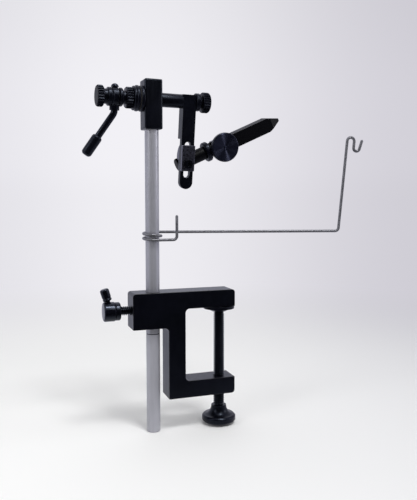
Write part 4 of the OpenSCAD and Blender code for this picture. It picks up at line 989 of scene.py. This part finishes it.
class VISE_OT_shaft(bpy.types.Operator):
    """Rotary shaft, slotted arm and the arm's thumb nut"""
    bl_idname = "vise.shaft"
    bl_label = "Shaft and arm"

    def execute(self, context):
        s, shaft = context.scene.vise_stack, rotary_frame(context.scene.vise_layout)
        journal, thick, stud = s.journal_d / 2, s.shaft_d / 2, s.stud_d / 2
        far, near = s.arm_x + s.arm_w, s.head_w / 2 + GAP
        turned("rotary_shaft", [
            (0, -s.shaft_start), (journal, -s.shaft_start), (journal, near), (thick, near), (thick, s.arm_x),
            (journal, s.arm_x), (journal, far), (stud + FIT, far), (stud + FIT, far - s.stud_l),
            (0, far - s.stud_l)], shaft @ along_x(), "turned_black")
        milled("rotary_arm", context.scene.vise_finishes.edge, "black_anodised")
        outline, start, end = nut_profile(s, s.arm_nut)
        dome, low, t = 1.4 * MM, 1 * MM - s.stud_l, np.linspace(0, 1, 13)[:, None]
        # dome: z falls with the square of the radius
        curve = np.hstack([(s.nut_d / 2 - dome) * (1 - t), end + dome * (1 - (1 - t) ** 2)])
        knurled("arm_nut", [(0, low), (stud, low), (stud, 0), *outline, *curve], s, start, end,
                shaft @ along_x(s.arm_nut_x), False, "turned_black")
        return {"FINISHED"}


class VISE_OT_crank(bpy.types.Operator):
    """Crank hub, its round-headed screw, bent rod, grip and thumb nut"""
    bl_idname = "vise.crank"
    bl_label = "Crank"

    def execute(self, context):
        s, st, shaft = context.scene.vise_crank, context.scene.vise_stack, rotary_frame(context.scene.vise_layout)
        hub = shaft @ shift(-s.hub_mid_x, 0, 0)
        milled("crank_hub", 0.25 * MM, "turned_black")
        head, top, screw, t = s.screw_head_d / 2, s.hub_d / 2, s.screw_d / 2, np.linspace(0, np.pi / 2, 13)
        dome = np.stack([head * np.cos(t), top + s.screw_head_h * np.sin(t)], -1)
        turned("crank_set_screw", [(0, st.journal_d / 2), (screw, st.journal_d / 2), (screw, top - GAP),
                                   (head - 2 * GAP, top - GAP), *dome], hub, "black_oxide", segments=64)
        corner = hub @ shift(0, 0, -s.corner_z)
        route = np.concatenate([
            [(0, 0, s.corner_z - s.seat_z)],
            arc((-s.bend_r, 0, s.bend_r * math.tan(s.lean / 2)), np.array([1.0, 0, 0]), np.array([0, 0, -1.0]),
                s.bend_r, 0, s.lean, 20),
            [np.array([-math.sin(s.lean), 0, -math.cos(s.lean)]) * (s.rod_l - 0.9 * MM)]])
        put("crank_rod", tube(route, s.rod_d / 2 - HAIR, (0, 1, 0), sides=40), corner, "black_oxide", sharp=WIRE_TURN)
        bore, depth, r = s.rod_d / 2 + FIT, s.rod_l - s.grip_start - 0.8 * MM, s.grip_d / 2
        turned("crank_grip", [
            (0, depth), (bore, depth), (bore, 0), (r - 0.9 * MM, 0), (r, 0.9 * MM), (r, s.grip_l - 1.4 * MM),
            (r - 1.3 * MM, s.grip_l), (0, s.grip_l)], corner @ spin("Y", s.lean) @ shift(0, 0, -s.grip_start)
            @ spin("X", math.pi), "black_anodised", radius=0.8 * MM)
        outline, start, end = nut_profile(st, st.crank_nut)
        bore, floor, place = st.journal_d / 2 + FIT, end - 2 * MM, shaft @ along_minus_x(st.crank_nut_x)
        nut = knurled("crank_nut", [(0, floor), (bore, floor), (bore, 0), *outline, (0, end)], st, start, end, place,
                      False, "turned_black", "jaw_black")
        # the nut's end face is dull
        recoat(nut, place, lambda z, wide: z > end - GAP)
        return {"FINISHED"}


class VISE_OT_slider(bpy.types.Operator):
    """Slider plate, tilt screw and saddle block"""
    bl_idname = "vise.slider"
    bl_label = "Slider"

    def execute(self, context):
        milled("slider_plate", 0.25 * MM, "blasted_grey", "worn_and_highlit_grey_edge")
        milled("saddle_block", 0.22 * MM, "blasted_grey", "worn_and_highlit_grey_edge")
        milled("tilt_screw", 0.15 * MM, "black_oxide")
        return {"FINISHED"}


class VISE_OT_jaws(bpy.types.Operator):
    """Jaw shank, collar, both jaws, hinge pin, spring, washer and jaw knob"""
    bl_idname = "vise.jaws"
    bl_label = "Jaws"

    def execute(self, context):
        s, jaw = context.scene.vise_jaws, jaw_frame(context.scene.vise_layout)
        r, k, end, bore, knurl = s.shank_d / 2, s.knurl_depth, s.tail + s.collar_s, s.bore_d / 2, s.knurl_l
        root, neck = r - k - 0.2 * MM, knurl + 0.2 * MM
        corners = [(0, 0), (r - k, 0), (r, k), (r, knurl - k), (r - k, knurl), (root, knurl), (root, neck), (r, neck),
                   (r, end), (bore, end), (bore, end - s.bore_d), (0, end - s.bore_d)]
        put("jaw_shank", ridged(softened(corners, 0.12 * MM), s.knurl_ridges * 10, s.knurl_ridges, r, k, -1 * MM,
                                knurl), jaw @ along_x(-s.tail), "jaw_black")
        turned("jaw_collar", [(bore, s.collar_l), (bore, 0), *collar_profile(s.collar_d, 0, s.collar_l, 0.7 * MM)],
               jaw @ along_x(s.collar_s), "turned_black", closed=True, radius=0.3 * MM)
        milled("rear_jaw", 0.3 * MM, "jaw_black")
        milled("front_jaw", 0.3 * MM, "jaw_black")
        pin, head, low, high = s.pin_d / 2 - HAIR, s.pin_head_d / 2, GAP - s.fork_d / 2, s.fork_d / 2
        turned("jaw_pin", [(0, low), (pin, low), (pin, high), (head, high), (head, high + s.pin_head_h),
                           (0, high + s.pin_head_h)], jaw @ shift(s.pin_s, -s.pin_y, 0), "black_oxide", segments=48)
        t = np.linspace(0, s.spring_turns, 40 * s.spring_turns + 1)
        # spring: a helix about the knob's axis, whose y grows evenly with the turn
        coil = np.stack([s.spring_r * np.cos(2 * np.pi * t), s.spring_h * (t / s.spring_turns - 0.5),
                         s.spring_r * np.sin(2 * np.pi * t)], -1)
        coil = np.concatenate([coil[:1] - [[0, 0, s.spring_d]], coil, coil[-1:] + [[0, 0, s.spring_d]]])
        put("jaw_spring", tube(coil, s.spring_d / 2, (0, 1, 0), 12), jaw @ shift(s.knob_s, 0, -s.drop),
            "spring_wire", sharp=WIRE_TURN)
        front = jaw @ shift(s.knob_s, -s.jaw_t - s.split / 2 - FIT, -s.drop) @ spin("X", math.pi / 2)
        hole, knob, e, washer, screw = s.screw_d / 2 + FIT, s.knob_d / 2, CHAMFER, s.washer_d / 2, s.screw_d / 2
        turned("jaw_washer", [(hole, s.washer_t), (hole, 0), (washer, 0), (washer, s.washer_t)], front,
               "black_oxide", closed=True, radius=0.1 * MM)
        back, face = s.knob_cone, s.knob_cone + s.knob_t
        low, dish = -2 * s.jaw_t - s.split - s.washer_t - GAP, face - s.knob_dish
        place = front @ shift(0, 0, s.washer_t + FIT)
        corners = [(0, low), (screw, low), (screw, 0), (washer, 0), (knob - e, back), (knob, back + e),
                   (knob, face - e), (knob - e, face), (s.centre_d / 2, dish), (0, dish)]
        piece = put("jaw_knob", rings(softened(corners, NUT_EASE), 192), place, "turned_black", "brushed_face")
        # the face of the knob is every cell inside the rim's edge, from the hollow outwards
        recoat(piece, place, lambda z, wide: (z > dish - HAIR) & (wide < knob - 0.8 * e))
        return {"FINISHED"}


# ---------------------------------------------------------------- stage

# name, place, side in metres or as a share of the lamp size, and watts
LAMPS = (("Lamp_top", (0.16, -0.50, 1.15), 0.75, 5.6), ("Lamp_left", (-1.0, -0.38, 0.62), 1, 1.9),
         ("Lamp_right", (1.05, -0.30, 0.48), 1, 1.3), ("Lamp_front", (0.30, -0.80, 0.95), 1, 1.6))
BACK_LAMP = ("Lamp_back", (0.1, 0.75, 1.2), 1.1, 1.5)
AIM = Vector((0.03, 0, 0.12))


def lamp(name, place, side, power):
    """Soft square lamp that looks at the vise."""
    data = bpy.data.lights.new(name, "AREA")
    data.shape, data.size, data.energy = "SQUARE", side, power
    obj = bpy.data.objects.new(name, data)
    obj.location = place
    obj.rotation_mode = "QUATERNION"
    obj.rotation_quaternion = (AIM - Vector(place)).to_track_quat("-Z", "Y")
    bpy.context.scene.collection.objects.link(obj)


def sweep(n, way, s):
    """Painted light of the paper sweep, as a colour seen along a unit direction: bright left of the middle, dimmer to
    both sides, to the top and at the horizon. The second result is the same sweep as glossy things see it: the room is
    dark in front."""
    side = n.vector("DOT_PRODUCT", way, (math.cos(s.camera_turn), -math.sin(s.camera_turn), 0))
    rise = n.vector("DOT_PRODUCT", way, (0, 0, 1))
    tone = n.blend(n.span(side, -0.36, -0.15, 0, 1), s.sweep_left, s.sweep)
    tone = n.blend(n.span(side, -0.12, 0.36, 0, 1), tone, s.sweep_right)
    # painted shade: the sweep dims towards the top and at the horizon
    fade = n.math("MULTIPLY", n.span(rise, 0.15, 0.36, 1, 0.93), n.span(rise, 0.0, 0.07, 0.97, 1))
    tone = n.vector("SCALE", tone, scale=fade)
    ahead = n.vector("DOT_PRODUCT", way, (s.dark_x, -math.sqrt(1 - s.dark_x ** 2), 0))
    return tone, n.vector("SCALE", n.vector("MULTIPLY", tone, tuple(s.cool)),
                          scale=n.span(ahead, 0.38, 0.72, 1, s.dark))


class VISE_OT_stage(bpy.types.Operator):
    """Camera, pale floor, pale background and soft lamps"""
    bl_idname = "vise.stage"
    bl_label = "Stage"

    def execute(self, context):
        scene, s = context.scene, context.scene.vise_stage
        scene.view_settings.view_transform = "Standard"
        camera = bpy.data.objects.new("Camera", bpy.data.cameras.new("Camera"))
        camera.data.lens, camera.data.sensor_width, camera.data.sensor_fit = s.lens, 36, "AUTO"
        camera.data.clip_start = 0.01
        camera.location = s.camera_place
        camera.rotation_euler = (math.pi / 2 - s.camera_dip, 0, -s.camera_turn)
        scene.collection.objects.link(camera)
        scene.camera = camera
        self.background(scene, s)
        self.floor(scene, s)
        for name, place, share, watts in LAMPS:
            lamp(name, place, share * s.lamp_size, watts * s.lamps)
        name, place, side, watts = BACK_LAMP
        lamp(name, place, side, watts * s.lamps)
        return {"FINISHED"}

    def background(self, scene, s):
        """World: even light on things, and the pale sweep for camera, glossy and transmitted rays."""
        world = bpy.data.worlds.new("Studio")
        scene.world = world
        world.use_nodes = True
        n = Nodes(world.node_tree)
        tone, shown = sweep(n, n.where.outputs["Generated"], s)
        seen, mirrored = n.rays()
        even = n.blend(mirrored, (s.room, s.room, s.room * 1.02), shown)
        n.wire(n.blend(seen, even, tone), n.tree.nodes["Background"].inputs["Color"])

    def floor(self, scene, s):
        """Floor: a flat disc in rings, near white by the vise with painted shade towards the right, that with distance
        turns into a glow of the sweep's painted colour."""
        r = np.concatenate([np.linspace(0.02, 1.0, 20), np.linspace(1.2, 6.0, 12)])
        mesh = skin("Floor", rings(np.stack([r, 0 * r], -1), 96), shift(0, 0, -0.05 * MM))
        # a flat disc has one face only, so the outer fan that would close it from the far side goes
        work = bmesh.new()
        work.from_mesh(mesh)
        work.verts.ensure_lookup_table()
        bmesh.ops.delete(work, geom=[work.verts[len(work.verts) - 1]], context="VERTS")
        bmesh.ops.recalc_face_normals(work, faces=work.faces)
        work.to_mesh(mesh)
        work.free()
        floor = bpy.data.objects.new("Floor", mesh)
        scene.collection.objects.link(floor)
        f = Finish("Floor paper")
        f.base(gloss=0.1)
        spot, paper = f.where.outputs["Object"], f.noise(900, 4)
        f.bump(paper, 0.02, 0.2)
        # painted shade: the paper darkens from left to right across the view
        across = f.vector("DOT_PRODUCT", spot, (math.cos(s.camera_turn), -math.sin(s.camera_turn), 0))
        f.done(f.blend(f.span(across, -0.12, 0.42, 0, 1), s.floor, s.floor_painted_shade), f.span(paper, 0.3, 0.7, 0.58, 0.66))
        seen, mirrored = f.rays()
        # camera rays come from the camera, and mirrored rays from the vise at the origin
        eye = f.vector("SCALE", (s.camera_place[0], s.camera_place[1], 0), scale=seen)
        reach = f.vector("SUBTRACT", spot, eye)
        tone, shown = sweep(f, f.vector("NORMALIZE", reach), s)
        away = f.vector("LENGTH", spot)
        # under the camera the floor stays plain
        clear = f.span(f.vector("LENGTH", reach), 0.35, 0.9, 0, 1)
        # the far floor glows: an emission painted with the sweep, and for mirrored rays a painted reflection of the
        # dark front in place of the lit paper
        far = f.math("ADD", f.math("MULTIPLY", f.math("MULTIPLY", f.span(away, 0.15, 0.8, 0, 1), clear), seen),
                     f.math("MULTIPLY", f.span(away, 0.0, 0.14, 0, 1), mirrored))
        glow = f.tree.nodes.new("ShaderNodeEmission")
        f.wire(f.blend(seen, shown, tone), glow.inputs["Color"])
        mix = f.tree.nodes.new("ShaderNodeMixShader")
        f.wire(far, mix.inputs["Fac"])
        f.wire(f.shader.outputs["BSDF"], mix.inputs[1])
        f.wire(glow.outputs["Emission"], mix.inputs[2])
        f.wire(mix.outputs["Shader"], f.tree.nodes["Material Output"].inputs["Surface"])
        mesh.materials.append(f.material)


# ---------------------------------------------------------------- panel and registering

GROUPS = {"vise_layout": ViseLayout, "vise_clamp": ViseClampSizes, "vise_lock": ViseLockSizes,
          "vise_post": VisePostSizes, "vise_stack": ViseStackSizes, "vise_crank": ViseCrankSizes,
          "vise_jaws": ViseJawSizes, "vise_cradle": ViseCradleSizes, "vise_finishes": ViseFinishes,
          "vise_stage": ViseStage}
OPERATORS = (VISE_OT_clamp, VISE_OT_lock_screw, VISE_OT_post, VISE_OT_cradle, VISE_OT_head, VISE_OT_drag,
             VISE_OT_shaft, VISE_OT_crank, VISE_OT_slider, VISE_OT_jaws, VISE_OT_stage)


class VISE_PT_panel(bpy.types.Panel):
    """Sizes, colours and the buttons that build each group of pieces"""
    bl_idname = "VISE_PT_panel"
    bl_label = "Fly Tying Vise"
    bl_space_type = "VIEW_3D"
    bl_region_type = "UI"
    bl_category = "Vise"

    def draw(self, context):
        for operator in OPERATORS:
            self.layout.operator(operator.bl_idname)
        for name, group in GROUPS.items():
            box = self.layout.box()
            box.label(text=group.__doc__)
            for prop in group.__annotations__:
                box.prop(getattr(context.scene, name), prop)


def register():
    for cls in (*GROUPS.values(), *OPERATORS, VISE_PT_panel):
        bpy.utils.register_class(cls)
    for name, group in GROUPS.items():
        setattr(bpy.types.Scene, name, PointerProperty(type=group))


def unregister():
    for name in GROUPS:
        delattr(bpy.types.Scene, name)
    for cls in reversed((*GROUPS.values(), *OPERATORS, VISE_PT_panel)):
        bpy.utils.unregister_class(cls)


def main():
    register()
    for operator in OPERATORS:
        group, name = operator.bl_idname.split(".")
        getattr(getattr(bpy.ops, group), name)()


if __name__ == "__main__":
    main()
